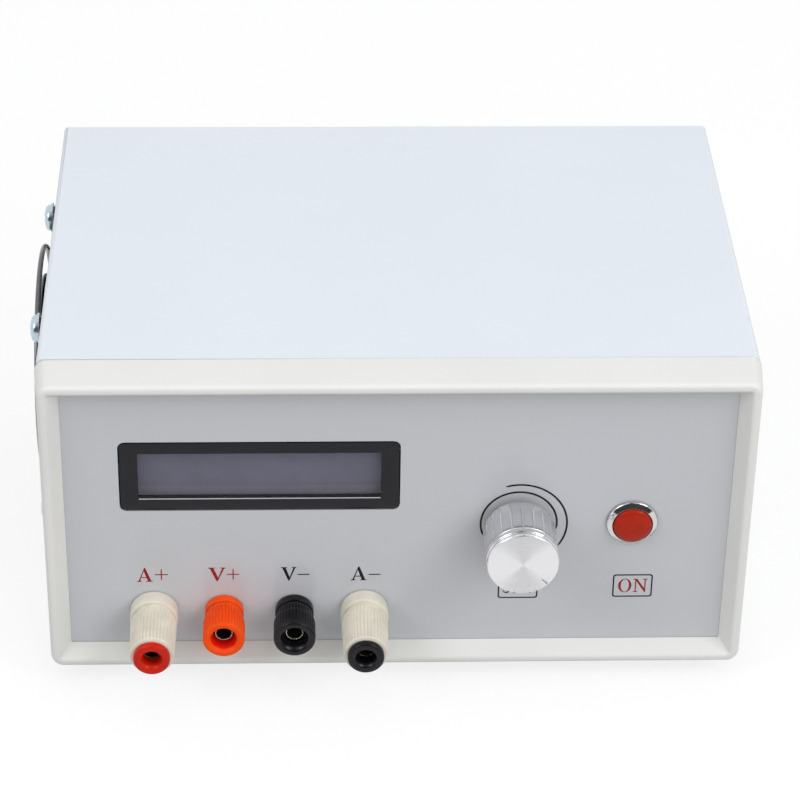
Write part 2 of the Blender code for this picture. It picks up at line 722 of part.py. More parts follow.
def post_base(name, parent, place, collar, length, neck, neck_end, mat):
    """Insulating collar with its sleeve through the panel."""
    bore = STUD_RADIUS + FIT
    sleeve = -PANEL_THICKNESS - 0.0010
    edge = 0.0003
    profile = [
        (bore, sleeve), (bore, neck_end), (neck, neck_end), (neck, length),
        (collar - edge, length), (collar, length - edge), (collar, FIT), (POST_SLEEVE_RADIUS, FIT),
        (POST_SLEEVE_RADIUS, sleeve),
    ]
    finish(name, turned(profile, 16), parent, mat, place, OUTWARD)


def post_nut(name, parent, place):
    high = -PANEL_THICKNESS - 0.0010 - FIT
    nut = finish(name, prism(hexagon(POST_NUT_ACROSS), high - POST_NUT_THICKNESS, high), parent, brass(),
                 place, OUTWARD)
    cut(nut, prism(circle(STUD_RADIUS + RUN_FIT, 16), high - POST_NUT_THICKNESS * 2, high + 0.001))


def post_bush(name, parent, place, start, end):
    """Threaded metal bush moulded into the thumb cap."""
    bore = STUD_RADIUS + FIT
    outer = bore + BUSH_WALL
    profile = [(bore, start), (outer, start), (outer, end), (bore, end)]
    finish(name, turned(profile, 16), parent, brass(), place, OUTWARD)


def long_post(tag, parent, x, ring_mat):
    """Current post: collar, tapering ribbed cap and a coloured ring in its end."""
    place = (x, PANEL_FRONT, POST_Z)
    post_base("post_base_" + tag, parent, place, LONG_COLLAR_RADIUS, LONG_COLLAR_LENGTH, LONG_NECK_RADIUS,
              LONG_CAP_START - FIT, post_cream_plastic())
    ring_seat = LONG_CAP_END - 0.0020
    post_stud("post_stud_" + tag, parent, place, ring_seat - FIT)
    post_nut("post_nut_" + tag, parent, place)
    bush_start = LONG_CAP_START + 0.0020
    bush_end = bush_start + 0.0060
    post_bush("post_bush_" + tag, parent, place, bush_start, bush_end)
    bush_bore = STUD_RADIUS + 2 * FIT + BUSH_WALL
    stud_bore = STUD_RADIUS + FIT
    seat_bore = LONG_RING_HOLE + 0.0016
    taper = LONG_CAP_FRONT_RADIUS + 0.0002
    cap = [
        (0.0, LONG_CAP_START), (LONG_CAP_REAR_RADIUS - 0.0004, LONG_CAP_START),
        (LONG_CAP_REAR_RADIUS, LONG_CAP_START + 0.0006), (taper, LONG_CAP_END - 0.0006),
        (LONG_CAP_FRONT_RADIUS, LONG_CAP_END), (0.0, LONG_CAP_END),
    ]
    hollow = [
        (0.0, LONG_CAP_END + 0.001), (seat_bore, LONG_CAP_END + 0.001), (seat_bore, ring_seat - FIT),
        (stud_bore, ring_seat - FIT), (stud_bore, bush_end + FIT), (bush_bore, bush_end + FIT),
        (bush_bore, LONG_CAP_START - 0.001), (0.0, LONG_CAP_START - 0.001),
    ]
    segments = CAP_RIBS * 2
    builder = turned_from_axis(cap, segments)
    push_in(builder, segments, LONG_CAP_START, LONG_CAP_END - 0.0005, LONG_CAP_FRONT_RADIUS - 0.0002,
            lambda column: CAP_RIB_DEPTH * (column % 2))
    grip = finish("post_cap_" + tag, builder, parent, post_cream_plastic(), place, OUTWARD, 20.0)
    cut(grip, turned_from_axis(hollow, 16))
    edge = 0.0006
    spigot = seat_bore - FIT
    shoulder = LONG_CAP_END + FIT
    ring = [
        (LONG_RING_HOLE, ring_seat), (spigot, ring_seat), (spigot, shoulder), (LONG_RING_RADIUS, shoulder),
        (LONG_RING_RADIUS, LONG_RING_END - edge), (LONG_RING_RADIUS - edge * 0.3, LONG_RING_END - edge * 0.3),
        (LONG_RING_RADIUS - edge, LONG_RING_END), (LONG_RING_HOLE + 0.0002, LONG_RING_END),
        (LONG_RING_HOLE, LONG_RING_END - 0.0002),
    ]
    finish("post_ring_" + tag, turned(ring, 16), parent, ring_mat, place, OUTWARD)


def short_post(tag, parent, x, mat):
    """Sensing post: thin collar and a waisted ribbed cap that flares to its open mouth."""
    place = (x, PANEL_FRONT, POST_Z)
    cap_start = SHORT_COLLAR_LENGTH + FIT
    post_base("post_base_" + tag, parent, place, SHORT_COLLAR_RADIUS, SHORT_COLLAR_LENGTH,
              SHORT_COLLAR_RADIUS - 0.0006, SHORT_COLLAR_LENGTH - FIT, mat)
    stud_front = SHORT_CAP_END - SHORT_STUD_RECESS
    post_stud("post_stud_" + tag, parent, place, stud_front)
    post_nut("post_nut_" + tag, parent, place)
    bush_start = cap_start + 0.0010
    bush_end = bush_start + 0.0030
    post_bush("post_bush_" + tag, parent, place, bush_start, bush_end)
    bush_bore = STUD_RADIUS + 2 * FIT + BUSH_WALL
    mouth = SHORT_CAP_MOUTH_RADIUS
    throat = STUD_RADIUS + FIT
    floor = stud_front - 0.0008
    cap = [
        (0.0, cap_start), (SHORT_CAP_WAIST_RADIUS - 0.0002, cap_start),
        (SHORT_CAP_WAIST_RADIUS, cap_start + 0.0004), (SHORT_CAP_WAIST_RADIUS, SHORT_CAP_WAIST),
        (SHORT_CAP_FRONT_RADIUS, SHORT_CAP_WAIST + 0.0016), (SHORT_CAP_FRONT_RADIUS, SHORT_CAP_END - 0.0005),
        (SHORT_CAP_FRONT_RADIUS - 0.0005, SHORT_CAP_END), (0.0, SHORT_CAP_END),
    ]
    hollow = [
        (0.0, SHORT_CAP_END + 0.0006), (mouth + 0.0012, SHORT_CAP_END + 0.0006), (mouth, SHORT_CAP_END - 0.0006),
        (mouth, floor), (throat, floor), (throat, bush_end + FIT), (bush_bore, bush_end + FIT),
        (bush_bore, cap_start - 0.001), (0.0, cap_start - 0.001),
    ]
    segments = CAP_RIBS * 2
    builder = turned_from_axis(cap, segments)
    push_in(builder, segments, cap_start + 0.0004, SHORT_CAP_END - 0.0005, SHORT_CAP_WAIST_RADIUS - 0.0001,
            lambda column: CAP_RIB_DEPTH * (column % 2))
    grip = finish("post_cap_" + tag, builder, parent, mat, place, OUTWARD, 20.0)
    cut(grip, turned_from_axis(hollow, 16))


def fan_hole_offsets():
    half = FAN_HOLE_SPACING / 2
    return [(half, -half), (half, half), (-half, -half), (-half, half)]


def fan_frame(parent):
    """Square fan frame: round duct, four holes, rear spider and the bearing boss."""
    place = (-WALL_X + SHEET, FAN_Y, FAN_Z)
    high = -FIT
    low = high - FAN_DEPTH
    frame = finish("fan_frame", prism(rounded_rectangle(FAN_SIZE, FAN_SIZE, FAN_CORNER, 3), low, high), parent,
                   black_plastic(), place, LEFTWARD)
    tools = [prism(circle(FAN_BORE_RADIUS, 32), low - 0.001, high + 0.001)]
    for x, y in fan_hole_offsets():
        tools.append(shifted(prism(circle(FAN_SCREW_RADIUS + RUN_FIT, 12), low - 0.001, high + 0.001), (x, y, 0)))
    cut(frame, merged(tools))
    spoke = 0.0018
    cross = prism([(spoke, -spoke), (FAN_BORE_RADIUS + 0.001, -spoke), (FAN_BORE_RADIUS + 0.001, spoke),
                   (spoke, spoke), (spoke, FAN_BORE_RADIUS + 0.001), (-spoke, FAN_BORE_RADIUS + 0.001),
                   (-spoke, spoke), (-FAN_BORE_RADIUS - 0.001, spoke), (-FAN_BORE_RADIUS - 0.001, -spoke),
                   (-spoke, -spoke), (-spoke, -FAN_BORE_RADIUS - 0.001), (spoke, -FAN_BORE_RADIUS - 0.001)],
                  low, low + 0.0025)
    add(frame, cross)
    hub = prism(circle(ROTOR_HUB_RADIUS * 0.95, 24), low, low + 0.0030)
    add(frame, hub)
    pin_end = high - 0.0035
    add(frame, prism(circle(ROTOR_PIN_RADIUS, 12), low + 0.001, pin_end))
    return low, high


def blade(start_angle, low, high):
    """One twisted blade from inside the hub to the tip."""
    root = ROTOR_HUB_RADIUS - 0.0010
    tip = FAN_BORE_RADIUS - ROTOR_TIP_GAP
    thick = 0.0009
    loops = []
    for step in range(3):
        radius = root + (tip - root) * step / 2
        sweep = math.radians(34 - 6 * step)
        lean = math.radians(15 * step)
        first = start_angle + lean
        last = first + sweep
        middle = (first + last) / 2
        belly = (low + high) / 2 - 0.0006
        points = []
        for angle, height in ((first, low), (middle, belly), (last, high)):
            points.append((radius * math.cos(angle), radius * math.sin(angle), height))
        for angle, height in ((last, high - thick), (middle, belly - thick), (first, low - thick)):
            points.append((radius * math.cos(angle), radius * math.sin(angle), height))
        loops.append(points)
    return lofted(loops, False)


def fan_rotor(parent, low, high):
    """Cup-shaped hub with seven swept blades, running on the frame's pin."""
    place = (-WALL_X + SHEET, FAN_Y, FAN_Z)
    back = low + 0.0030 + 0.0006
    front = high - 0.0008
    bore = ROTOR_PIN_RADIUS + 0.0002
    wall = 0.0012
    pin_room = high - 0.0030
    profile = [
        (ROTOR_HUB_RADIUS, back), (ROTOR_HUB_RADIUS, front - 0.0010), (ROTOR_HUB_RADIUS - 0.0010, front),
        (0.0, front), (0.0, pin_room), (bore, pin_room), (bore, back + 0.0004), (0.0040, back + 0.0004),
        (0.0040, front - wall), (ROTOR_HUB_RADIUS - wall, front - wall), (ROTOR_HUB_RADIUS - wall, back),
    ]
    rotor = finish("fan_rotor", turned_from_axis(profile, 28), parent, black_plastic(), place, LEFTWARD)
    blades = [blade(2 * math.pi * index / ROTOR_BLADES, back + 0.0020, front - 0.0008)
              for index in range(ROTOR_BLADES)]
    add(rotor, merged(blades))


def fan_guard(parent):
    """Wire guard: three welded rings over four bent spokes that end in screw loops."""
    place = (-WALL_X, FAN_Y, FAN_Z)
    rings = []
    for index in range(GUARD_RINGS):
        radius = GUARD_OUTER_RING - GUARD_RING_STEP * index
        path = [(x, y, GUARD_RING_HEIGHT) for x, y in circle(radius, 24 - 4 * index)]
        rings.append(tube(path, GUARD_WIRE, 5, True))
    guard = finish("fan_guard", merged(rings), parent, chrome(), place, LEFTWARD)
    loop_radius = FAN_SCREW_RADIUS + FIT + GUARD_WIRE
    corner = FAN_HOLE_SPACING / math.sqrt(2)
    inner = GUARD_OUTER_RING - GUARD_RING_STEP * (GUARD_RINGS - 1) - 2.5 * GUARD_WIRE
    spokes = []
    for index in range(4):
        angle = math.radians(45 + 90 * index)
        stations = [(inner, GUARD_SPOKE_HEIGHT), (GUARD_OUTER_RING + GUARD_WIRE, GUARD_SPOKE_HEIGHT),
                    (GUARD_OUTER_RING + 3.5 * GUARD_WIRE, GUARD_LOOP_HEIGHT),
                    (corner - loop_radius, GUARD_LOOP_HEIGHT)]
        path = [(r * math.cos(angle), r * math.sin(angle), h) for r, h in stations]
        spokes.append(tube(path, GUARD_WIRE, 5))
    add(guard, merged(spokes))
    loops = []
    for x, y in fan_hole_offsets():
        path = [(x + dx, y + dy, GUARD_LOOP_HEIGHT) for dx, dy in circle(loop_radius, 10)]
        loops.append(tube(path, GUARD_WIRE, 5, True))
    add(guard, merged(loops))


def fan_screw(name, parent, y, z):
    """Pan-head screw with a captive washer, from outside the guard into the fan frame."""
    place = (-WALL_X, y, z)
    seat = FAN_WASHER_SEAT
    under = seat + FAN_WASHER
    top = under + FAN_HEAD_HEIGHT
    profile = [
        (0.0, seat - FAN_SCREW_LENGTH), (FAN_SCREW_RADIUS * 0.6, seat - FAN_SCREW_LENGTH),
        (FAN_SCREW_RADIUS, seat - FAN_SCREW_LENGTH + 0.001), (FAN_SCREW_RADIUS, seat),
        (FAN_WASHER_RADIUS, seat), (FAN_WASHER_RADIUS, under), (FAN_HEAD_RADIUS, under),
        (FAN_HEAD_RADIUS, under + FAN_HEAD_HEIGHT * 0.35), (FAN_HEAD_RADIUS * 0.90, top - FAN_HEAD_HEIGHT * 0.32),
        (FAN_HEAD_RADIUS * 0.60, top - FAN_HEAD_HEIGHT * 0.08), (0.0, top),
    ]
    screw = finish(name, turned_from_axis(profile, 12), parent, zinc(), place, LEFTWARD)
    slot = 0.00035
    reach = FAN_HEAD_RADIUS * 0.5
    deep = top - FAN_HEAD_HEIGHT * 0.45
    cross = prism([(slot, -slot), (reach, -slot), (reach, slot), (slot, slot), (slot, reach), (-slot, reach),
                   (-slot, slot), (-reach, slot), (-reach, -slot), (-slot, -slot), (-slot, -reach),
                   (slot, -reach)], deep, top + 0.001)
    cut(screw, cross)


def fan(parent):
    low, high = fan_frame(parent)
    fan_rotor(parent, low, high)
    fan_guard(parent)
    for index, (up, back) in enumerate(fan_hole_offsets()):
        fan_screw("fan_screw_%d" % (index + 1), parent, FAN_Y + back, FAN_Z + up)


def case_screw_positions():
    return [BEZEL_DEPTH + BEZEL_TONGUE + CASE_SCREW_INSET, CASE_DEPTH - CASE_SCREW_INSET]


def cover_section(inset):
    """Points of the folded cover's outline, seen from the front, from its left foot to its right."""
    half = WALL_X - inset
    top = CASE_HEIGHT - inset
    radius = max(FOLD_RADIUS - inset, 0.0003)
    points = [(-half, 0.0)]
    for centre, start in ((-half + radius, 180), (half - radius, 90)):
        for step in range(5):
            angle = math.radians(start - 22.5 * step)
            points.append((centre + radius * math.cos(angle), top - radius + radius * math.sin(angle)))
    points.append((half, 0.0))
    return points


def top_cover(parent):
    """Folded sheet cover: top and both sides, fan opening on the left, vents on the right."""
    outline = cover_section(0.0) + list(reversed(cover_section(SHEET)))
    front = BEZEL_DEPTH + FIT
    cover = finish("top_cover", prism(outline, -CASE_DEPTH, -front), parent, white_paint(), (0, 0, 0), OUTWARD)
    tools = [cover_side_cut(circle(FAN_BORE_RADIUS, 32), -WALL_X, FAN_Y, FAN_Z)]
    for up, across in fan_hole_offsets():
        tools.append(cover_side_cut(circle(FAN_SCREW_RADIUS + FIT, 12), -WALL_X, FAN_Y + across, FAN_Z + up))
    for index in range(VENT_COUNT):
        height = FAN_Z + (index - (VENT_COUNT - 1) / 2) * VENT_STEP
        slot = rounded_rectangle(VENT_LENGTH, VENT_WIDTH, VENT_WIDTH * 0.45, 1)
        tools.append(cover_side_cut(slot, WALL_X, FAN_Y, height))
    for y in case_screw_positions():
        for wall in (-WALL_X, WALL_X):
            tools.append(cover_side_cut(circle(CASE_SCREW_RADIUS + FIT, 8), wall, y, CASE_SCREW_Z))
    cut(cover, merged(tools))


def plate(points, vector):
    """Extrude a polygon of 3-D points along a vector."""
    builder = bmesh.new()
    face = builder.faces.new([builder.verts.new(point) for point in points])
    grown = bmesh.ops.extrude_face_region(builder, geom=[face])
    moved = [item for item in grown["geom"] if isinstance(item, bmesh.types.BMVert)]
    bmesh.ops.translate(builder, vec=vector, verts=moved)
    return builder


def cover_side_cut(outline, wall, y, z):
    """A cutter through one side of the cover, in the cover's own axes; the outline is along Y and Z."""
    reach = SHEET * 4
    return plate([(wall - reach, z + up, -(y + back)) for back, up in outline], (2 * reach, 0, 0))


def side_cut(outline, wall, y, z):
    reach = SHEET * 2
    return plate([(wall - reach, y + back, z + up) for back, up in outline], (2 * reach, 0, 0))


def rear_cut(outline, x, z):
    return plate([(x + across, CASE_DEPTH - SHEET * 3, z + up) for across, up in outline], (0, SHEET * 6, 0))


def standoff_positions():
    reach_x = BOARD_WIDTH / 2 - 0.005
    return [(sx * reach_x, y) for sx in (-1, 1) for y in (BOARD_FRONT + 0.005, BOARD_REAR - 0.005)]


def base_tray(parent):
    """Folded sheet base: bottom, two side flanges inside the cover and the rear wall."""
    front = BEZEL_DEPTH + FIT
    flange_front = BEZEL_DEPTH + BEZEL_TONGUE + 0.001
    side = TRAY_SIDE_X
    wall = [(x, CASE_DEPTH - SHEET, z) for x, z in cover_section(SHEET + FIT)]
    tray = finish("base_tray", box((-side, front, 0), (side, CASE_DEPTH, SHEET)), parent, white_paint())
    add(tray, plate(wall, (0, SHEET, 0)))
    for sign in (-1, 1):
        low = min(sign * side, sign * (side - SHEET))
        add(tray, box((low, flange_front, 0), (low + SHEET, CASE_DEPTH - SHEET * 0.5, TRAY_FLANGE)))
    bosses = []
    for x, y in standoff_positions():
        bosses.append(shifted(prism(circle(STANDOFF_RADIUS, 12), SHEET * 0.5, SHEET + STANDOFF_HEIGHT), (x, y, 0)))
    add(tray, merged(bosses))
    tools = []
    for y in case_screw_positions():
        for wall in (-side, side):
            tools.append(side_cut(circle(CASE_SCREW_RADIUS + RUN_FIT, 8), wall, y, CASE_SCREW_Z))
    tools.append(rear_cut(circle(JACK_RADIUS + FIT, 20), JACK_X, JACK_Z))
    cut(tray, merged(tools))


def case_screws(parent):
    """Pan-head screws that hold the foot of the cover to the tray's flanges."""
    count = 0
    for sign, rotation in ((-1, LEFTWARD), (1, RIGHTWARD)):
        for y in case_screw_positions():
            count += 1
            seat = FIT
            top = seat + CASE_SCREW_HEAD_HEIGHT
            profile = [
                (0.0, seat - CASE_SCREW_LENGTH), (CASE_SCREW_RADIUS, seat - CASE_SCREW_LENGTH),
                (CASE_SCREW_RADIUS, seat), (CASE_SCREW_HEAD_RADIUS, seat),
                (CASE_SCREW_HEAD_RADIUS, seat + CASE_SCREW_HEAD_HEIGHT * 0.45),
                (CASE_SCREW_HEAD_RADIUS * 0.6, top), (0.0, top),
            ]
            finish("cover_screw_%d" % count, turned_from_axis(profile, 12), parent, zinc(),
                   (sign * WALL_X, y, CASE_SCREW_Z), rotation)


def feet(parent):
    """Four turned rubber feet under the tray."""
    count = 0
    for sign in (-1, 1):
        for y in (BEZEL_DEPTH + FOOT_INSET_Y, CASE_DEPTH - FOOT_INSET_Y):
            count += 1
            profile = [
                (0.0, -FIT), (FOOT_RADIUS * 0.92, -FIT), (FOOT_RADIUS, -FIT - 0.0008),
                (FOOT_RADIUS * 0.86, -FOOT_HEIGHT), (0.0, -FOOT_HEIGHT),
            ]
            finish("foot_%d" % count, turned_from_axis(profile, 20), parent, rubber(),
                   (sign * (CASE_WIDTH / 2 - FOOT_INSET_X), y, 0))


def power_jack(parent):
    """Round power inlet in the rear wall."""
    face = FIT + JACK_FLANGE
    tail = face - JACK_LENGTH
    profile = [
        (JACK_FLANGE_RADIUS, FIT), (JACK_FLANGE_RADIUS, face - 0.0004), (JACK_FLANGE_RADIUS - 0.0004, face),
        (JACK_SOCKET_RADIUS, face), (JACK_SOCKET_RADIUS, tail + 0.0025), (0.0012, tail + 0.0025),
        (0.0012, face - 0.0020), (0.0, face - 0.0016), (0.0, tail), (JACK_RADIUS, tail), (JACK_RADIUS, FIT),
    ]
    finish("power_jack", turned_from_axis(profile, 16), parent, black_plastic(), (JACK_X, CASE_DEPTH, JACK_Z),
           REARWARD)


def inside(parent):
    """Main board, finned heatsink, two power transistors and the two heavy leads."""
    half = BOARD_WIDTH / 2
    finish("main_board", box((-half, BOARD_FRONT, BOARD_BOTTOM), (half, BOARD_REAR, BOARD_BOTTOM + BOARD_THICKNESS)),
           parent, circuit_board())
    board_top = BOARD_BOTTOM + BOARD_THICKNESS
    left = -WALL_X + SHEET + FIT + FAN_DEPTH + HEATSINK_FROM_FAN
    right = left + HEATSINK_LENGTH
    step = (HEATSINK_TOP - FIN_BOTTOM - FIN_THICKNESS) / (FIN_COUNT - 1)
    base_front = HEATSINK_BASE_Y
    base_back = HEATSINK_BASE_Y + HEATSINK_BASE
    outline = [(base_back, board_top + FIT), (base_back, HEATSINK_TOP), (FIN_FRONT, HEATSINK_TOP)]
    for index in reversed(range(FIN_COUNT)):
        low = FIN_BOTTOM + step * index
        outline.append((FIN_FRONT, low))
        outline.append((base_front, low))
        if index:
            under = FIN_BOTTOM + step * (index - 1) + FIN_THICKNESS
            outline.append((base_front, under))
            outline.append((FIN_FRONT, under))
    outline.append((base_front, board_top + FIT))
    sink = prism([(-z, y) for y, z in outline], left, right)
    finish("heatsink", sink, parent, plain_aluminium(), (0, 0, 0), (0, math.radians(90), 0))
    for index in range(2):
        centre = (left + right) / 2 + (index - 0.5) * TRANSISTOR_SPACING
        transistor("power_transistor_%d" % (index + 1), parent, centre, base_back + FIT, board_top)
    leads(parent, board_top)


def transistor(name, parent, x, y, board_top):
    """Flat plastic power transistor against the heatsink, with three legs down to the board."""
    half = TRANSISTOR_WIDTH / 2
    device = finish(name, box((x - half, y, TRANSISTOR_Z), (x + half, y + TRANSISTOR_THICKNESS,
                                                           TRANSISTOR_Z + TRANSISTOR_HEIGHT)),
                    parent, black_plastic())
    legs = []
    for step in (-1, 0, 1):
        centre = x + step * 0.0054
        legs.append(box((centre - 0.0006, y + 0.0016, board_top + FIT),
                        (centre + 0.0006, y + 0.0024, TRANSISTOR_Z + 0.001)))
    add(device, merged(legs))


def smooth_path(knots, steps):
    """Points of a smooth curve through the given knots."""
    knots = [Vector(knot) for knot in knots]
    points = []
    last = len(knots) - 1
    for index in range(last):
        before = knots[max(index - 1, 0)]
        first = knots[index]
        second = knots[index + 1]
        after = knots[min(index + 2, last)]
        for step in range(steps):
            t = step / steps
            points.append(0.5 * ((2 * first) + (second - before) * t
                                 + (2 * before - 5 * first + 4 * second - after) * t * t
                                 + (3 * first - before - 3 * second + after) * t * t * t))
    points.append(knots[last])
    return points


def leads(parent, board_top):
    """Heavy leads from the tails of the two current posts to the main board."""
    tail = PANEL_FRONT + PANEL_THICKNESS + STUD_TAIL
    ends = post_positions()
    reach = BOARD_WIDTH / 2 - LEAD_FROM_BOARD_SIDE
    for name, x, mat in (("lead_positive", ends[0], red_plastic()), ("lead_negative", ends[3], black_plastic())):
        landing = max(-reach, min(x, reach))
        knots = [(x, tail + FIT, POST_Z), (x, tail + LEAD_RUN_OUT, POST_Z + LEAD_FIRST_RISE),
                 (landing, BOARD_FRONT - LEAD_DROP_START, POST_Z + LEAD_RISE),
                 (landing, BOARD_FRONT + LEAD_DROP_START, board_top + LEAD_DROP_HEIGHT),
                 (landing, BOARD_FRONT + LEAD_DROP_END, board_top + FIT)]
        finish(name, tube(smooth_path(knots, 4), LEAD_RADIUS, 6), parent, mat)


def main():
    clear_scene()
    root = bpy.data.objects.new("tester_origin", None)
    bpy.context.scene.collection.objects.link(root)
    root.location = (-ORIGIN_X, -ORIGIN_Y, FOOT_HEIGHT)
    bpy.context.view_layer.update()
    front_bezel(root)
    front_panel(root)
    display(root)
    encoder(root)
    push_button(root)
    places = post_positions()
    long_post("a_plus", root, places[0], red_plastic())
    short_post("v_plus", root, places[1], orange_plastic())
    short_post("v_minus", root, places[2], black_plastic())
    long_post("a_minus", root, places[3], black_plastic())
    fan(root)
    top_cover(root)
    base_tray(root)
    case_screws(root)
    feet(root)
    power_jack(root)
    inside(root)
    bpy.context.view_layer.update()


main()
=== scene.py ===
"""Bench battery capacity tester: finished surfaces, materials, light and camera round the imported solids.

World axes, in metres: X to the right, Y to the rear, Z up, with the feet on Z = 0. Lengths that belong to one
piece are written beside it; what a user would change is in the two property groups.
"""
import json
import math

import bmesh
import bpy
import numpy as np
from mathutils import Matrix, Vector


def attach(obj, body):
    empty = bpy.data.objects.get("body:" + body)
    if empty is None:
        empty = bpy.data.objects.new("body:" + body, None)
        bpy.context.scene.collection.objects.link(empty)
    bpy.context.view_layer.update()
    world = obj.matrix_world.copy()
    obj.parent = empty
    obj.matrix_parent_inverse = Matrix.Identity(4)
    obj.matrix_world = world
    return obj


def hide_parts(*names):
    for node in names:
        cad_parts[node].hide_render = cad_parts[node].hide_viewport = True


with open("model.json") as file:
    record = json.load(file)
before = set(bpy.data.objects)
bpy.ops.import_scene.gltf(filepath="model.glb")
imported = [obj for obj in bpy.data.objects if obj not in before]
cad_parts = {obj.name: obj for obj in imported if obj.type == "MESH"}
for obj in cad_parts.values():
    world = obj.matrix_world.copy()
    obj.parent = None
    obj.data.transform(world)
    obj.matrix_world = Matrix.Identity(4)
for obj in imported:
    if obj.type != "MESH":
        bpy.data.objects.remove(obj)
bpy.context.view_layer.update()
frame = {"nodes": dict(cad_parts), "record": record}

bl_info = {
    "name": "Battery Capacity Tester",
    "version": (1, 0, 0),
    "blender": (4, 5, 0),
    "location": "View3D > Sidebar > Tester",
    "description": "Builds the surfaces, materials and stage of a bench battery capacity tester",
    "category": "Object",
}

MM = 0.001
MIDDLE_X = 0.001325
BEZEL_FRONT = -0.062175
PANEL_FRONT = -0.057825
UNDERSIDE = 0.005
LEFT_WALL = -0.093475
RIGHT_WALL = 0.096125
POSTS = {"a_plus": -0.064475, "v_plus": -0.045475, "v_minus": -0.026475, "a_minus": -0.007475}
POST_HEIGHT = 0.0209
POST_PITCH = 0.019
KNOB_AXIS = (0.033625, 0.0492)
BUTTON_AXIS = (0.064025, 0.0495)
FAN_AXIS = (0.018625, 0.0522)
COVER_SCREWS = (-0.026675, 0.061825)
BODY_OF = {node: body for body, nodes in frame["record"]["behaviour"]["bodies"].items() for node in nodes}

# Two directions across a turned piece and the one along its axis, away from the case
FACING = {
    "front": ((1, 0, 0), (0, 0, 1), (0, -1, 0)),
    "left": ((0, -1, 0), (0, 0, 1), (-1, 0, 0)),
    "right": ((0, 1, 0), (0, 0, 1), (1, 0, 0)),
}


class TesterSizes(bpy.types.PropertyGroup):
    """Sizes of the finished surfaces."""
    bezel_edge: bpy.props.FloatProperty(
        name="Bezel edge", description="Radius of the bezel's outer front edge", default=0.0014, unit="LENGTH")
    cap_ribs: bpy.props.IntProperty(
        name="Cap ribs", description="Number of grip ribs round each post's cap", default=40, min=8)
    cap_rib_depth: bpy.props.FloatProperty(
        name="Cap rib depth", description="Depth of the grooves between the ribs", default=0.00036, unit="LENGTH")
    knob_flutes: bpy.props.IntProperty(
        name="Knob flutes", description="Number of flat flutes round the knob", default=20, min=6)
    knob_flute_depth: bpy.props.FloatProperty(
        name="Knob flute depth", description="Depth of the flats below the ridges", default=0.00040, unit="LENGTH")
    guard_wire: bpy.props.FloatProperty(
        name="Guard wire", description="Radius of the fan guard's wire", default=0.00075, unit="LENGTH")
    letter_height: bpy.props.FloatProperty(
        name="Letter height", description="Height of the letters over the posts", default=0.00465, unit="LENGTH")
    ink_line: bpy.props.FloatProperty(
        name="Ink line", description="Width of the printed arcs round the knob", default=0.00054, unit="LENGTH")
    ink_thickness: bpy.props.FloatProperty(
        name="Ink thickness", description="Height of the printed ink above the panel", default=0.00003, unit="LENGTH")


def colour_property(name, description, default):
    return bpy.props.FloatVectorProperty(name=name, description=description, default=default, size=3,
                                         min=0.0, max=1.0, subtype="COLOR")


class TesterColours(bpy.types.PropertyGroup):
    """Colours of the finished surfaces."""
    sheet: colour_property("Sheet", "Paint on the folded sheet case", (0.765, 0.810, 0.860))
    bezel: colour_property("Bezel", "Moulded front bezel", (0.800, 0.800, 0.770))
    panel: colour_property("Panel", "Glossy control panel", (0.570, 0.582, 0.610))
    lens_border: colour_property("Lens border", "Black border printed on the display lens", (0.008, 0.008, 0.012))
    display: colour_property("Display", "Unlit display glass", (0.480, 0.480, 0.600))
    cream: colour_property("Cream", "Current posts", (0.800, 0.750, 0.640))
    orange: colour_property("Orange", "Positive sensing post", (1.000, 0.090, 0.008))
    red: colour_property("Red", "Positive current ring", (0.600, 0.014, 0.002))
    cap: colour_property("Cap", "Cap of the push button", (0.420, 0.018, 0.003))
    black: colour_property("Black", "Negative posts and the fan", (0.006, 0.006, 0.008))
    metal: colour_property("Metal", "Spun metal of the knob", (0.790, 0.790, 0.810))
    zinc: colour_property("Zinc", "Blue zinc plating of the screws", (0.480, 0.600, 0.720))
    ink_red: colour_property("Red ink", "Letters of the positive posts and the switch", (0.300, 0.012, 0.010))
    ink_black: colour_property("Black ink", "Letters, boxes and arcs", (0.007, 0.007, 0.010))


# Shader expressions

class Wire:
    """An output socket that takes part in Python sums; each sum adds its Math node."""

    def __init__(self, finish, socket):
        self.finish = finish
        self.socket = socket

    def math(self, operation, *terms):
        return self.finish.node("Math", {"operation": operation}, dict(enumerate((self,) + terms)))

    def __add__(self, other):
        return self.math("ADD", other)

    def __mul__(self, other):
        return self.math("MULTIPLY", other)

    def __sub__(self, other):
        return self.math("SUBTRACT", other)

    def __rsub__(self, other):
        return self.finish.node("Math", {"operation": "SUBTRACT"}, {0: other, 1: self})

    def __truediv__(self, other):
        return self.math("DIVIDE", other)

    def __pow__(self, other):
        return self.math("POWER", other)

    def __lt__(self, other):
        return self.math("LESS_THAN", other)

    def __gt__(self, other):
        return self.math("GREATER_THAN", other)

    __radd__ = __add__
    __rmul__ = __mul__


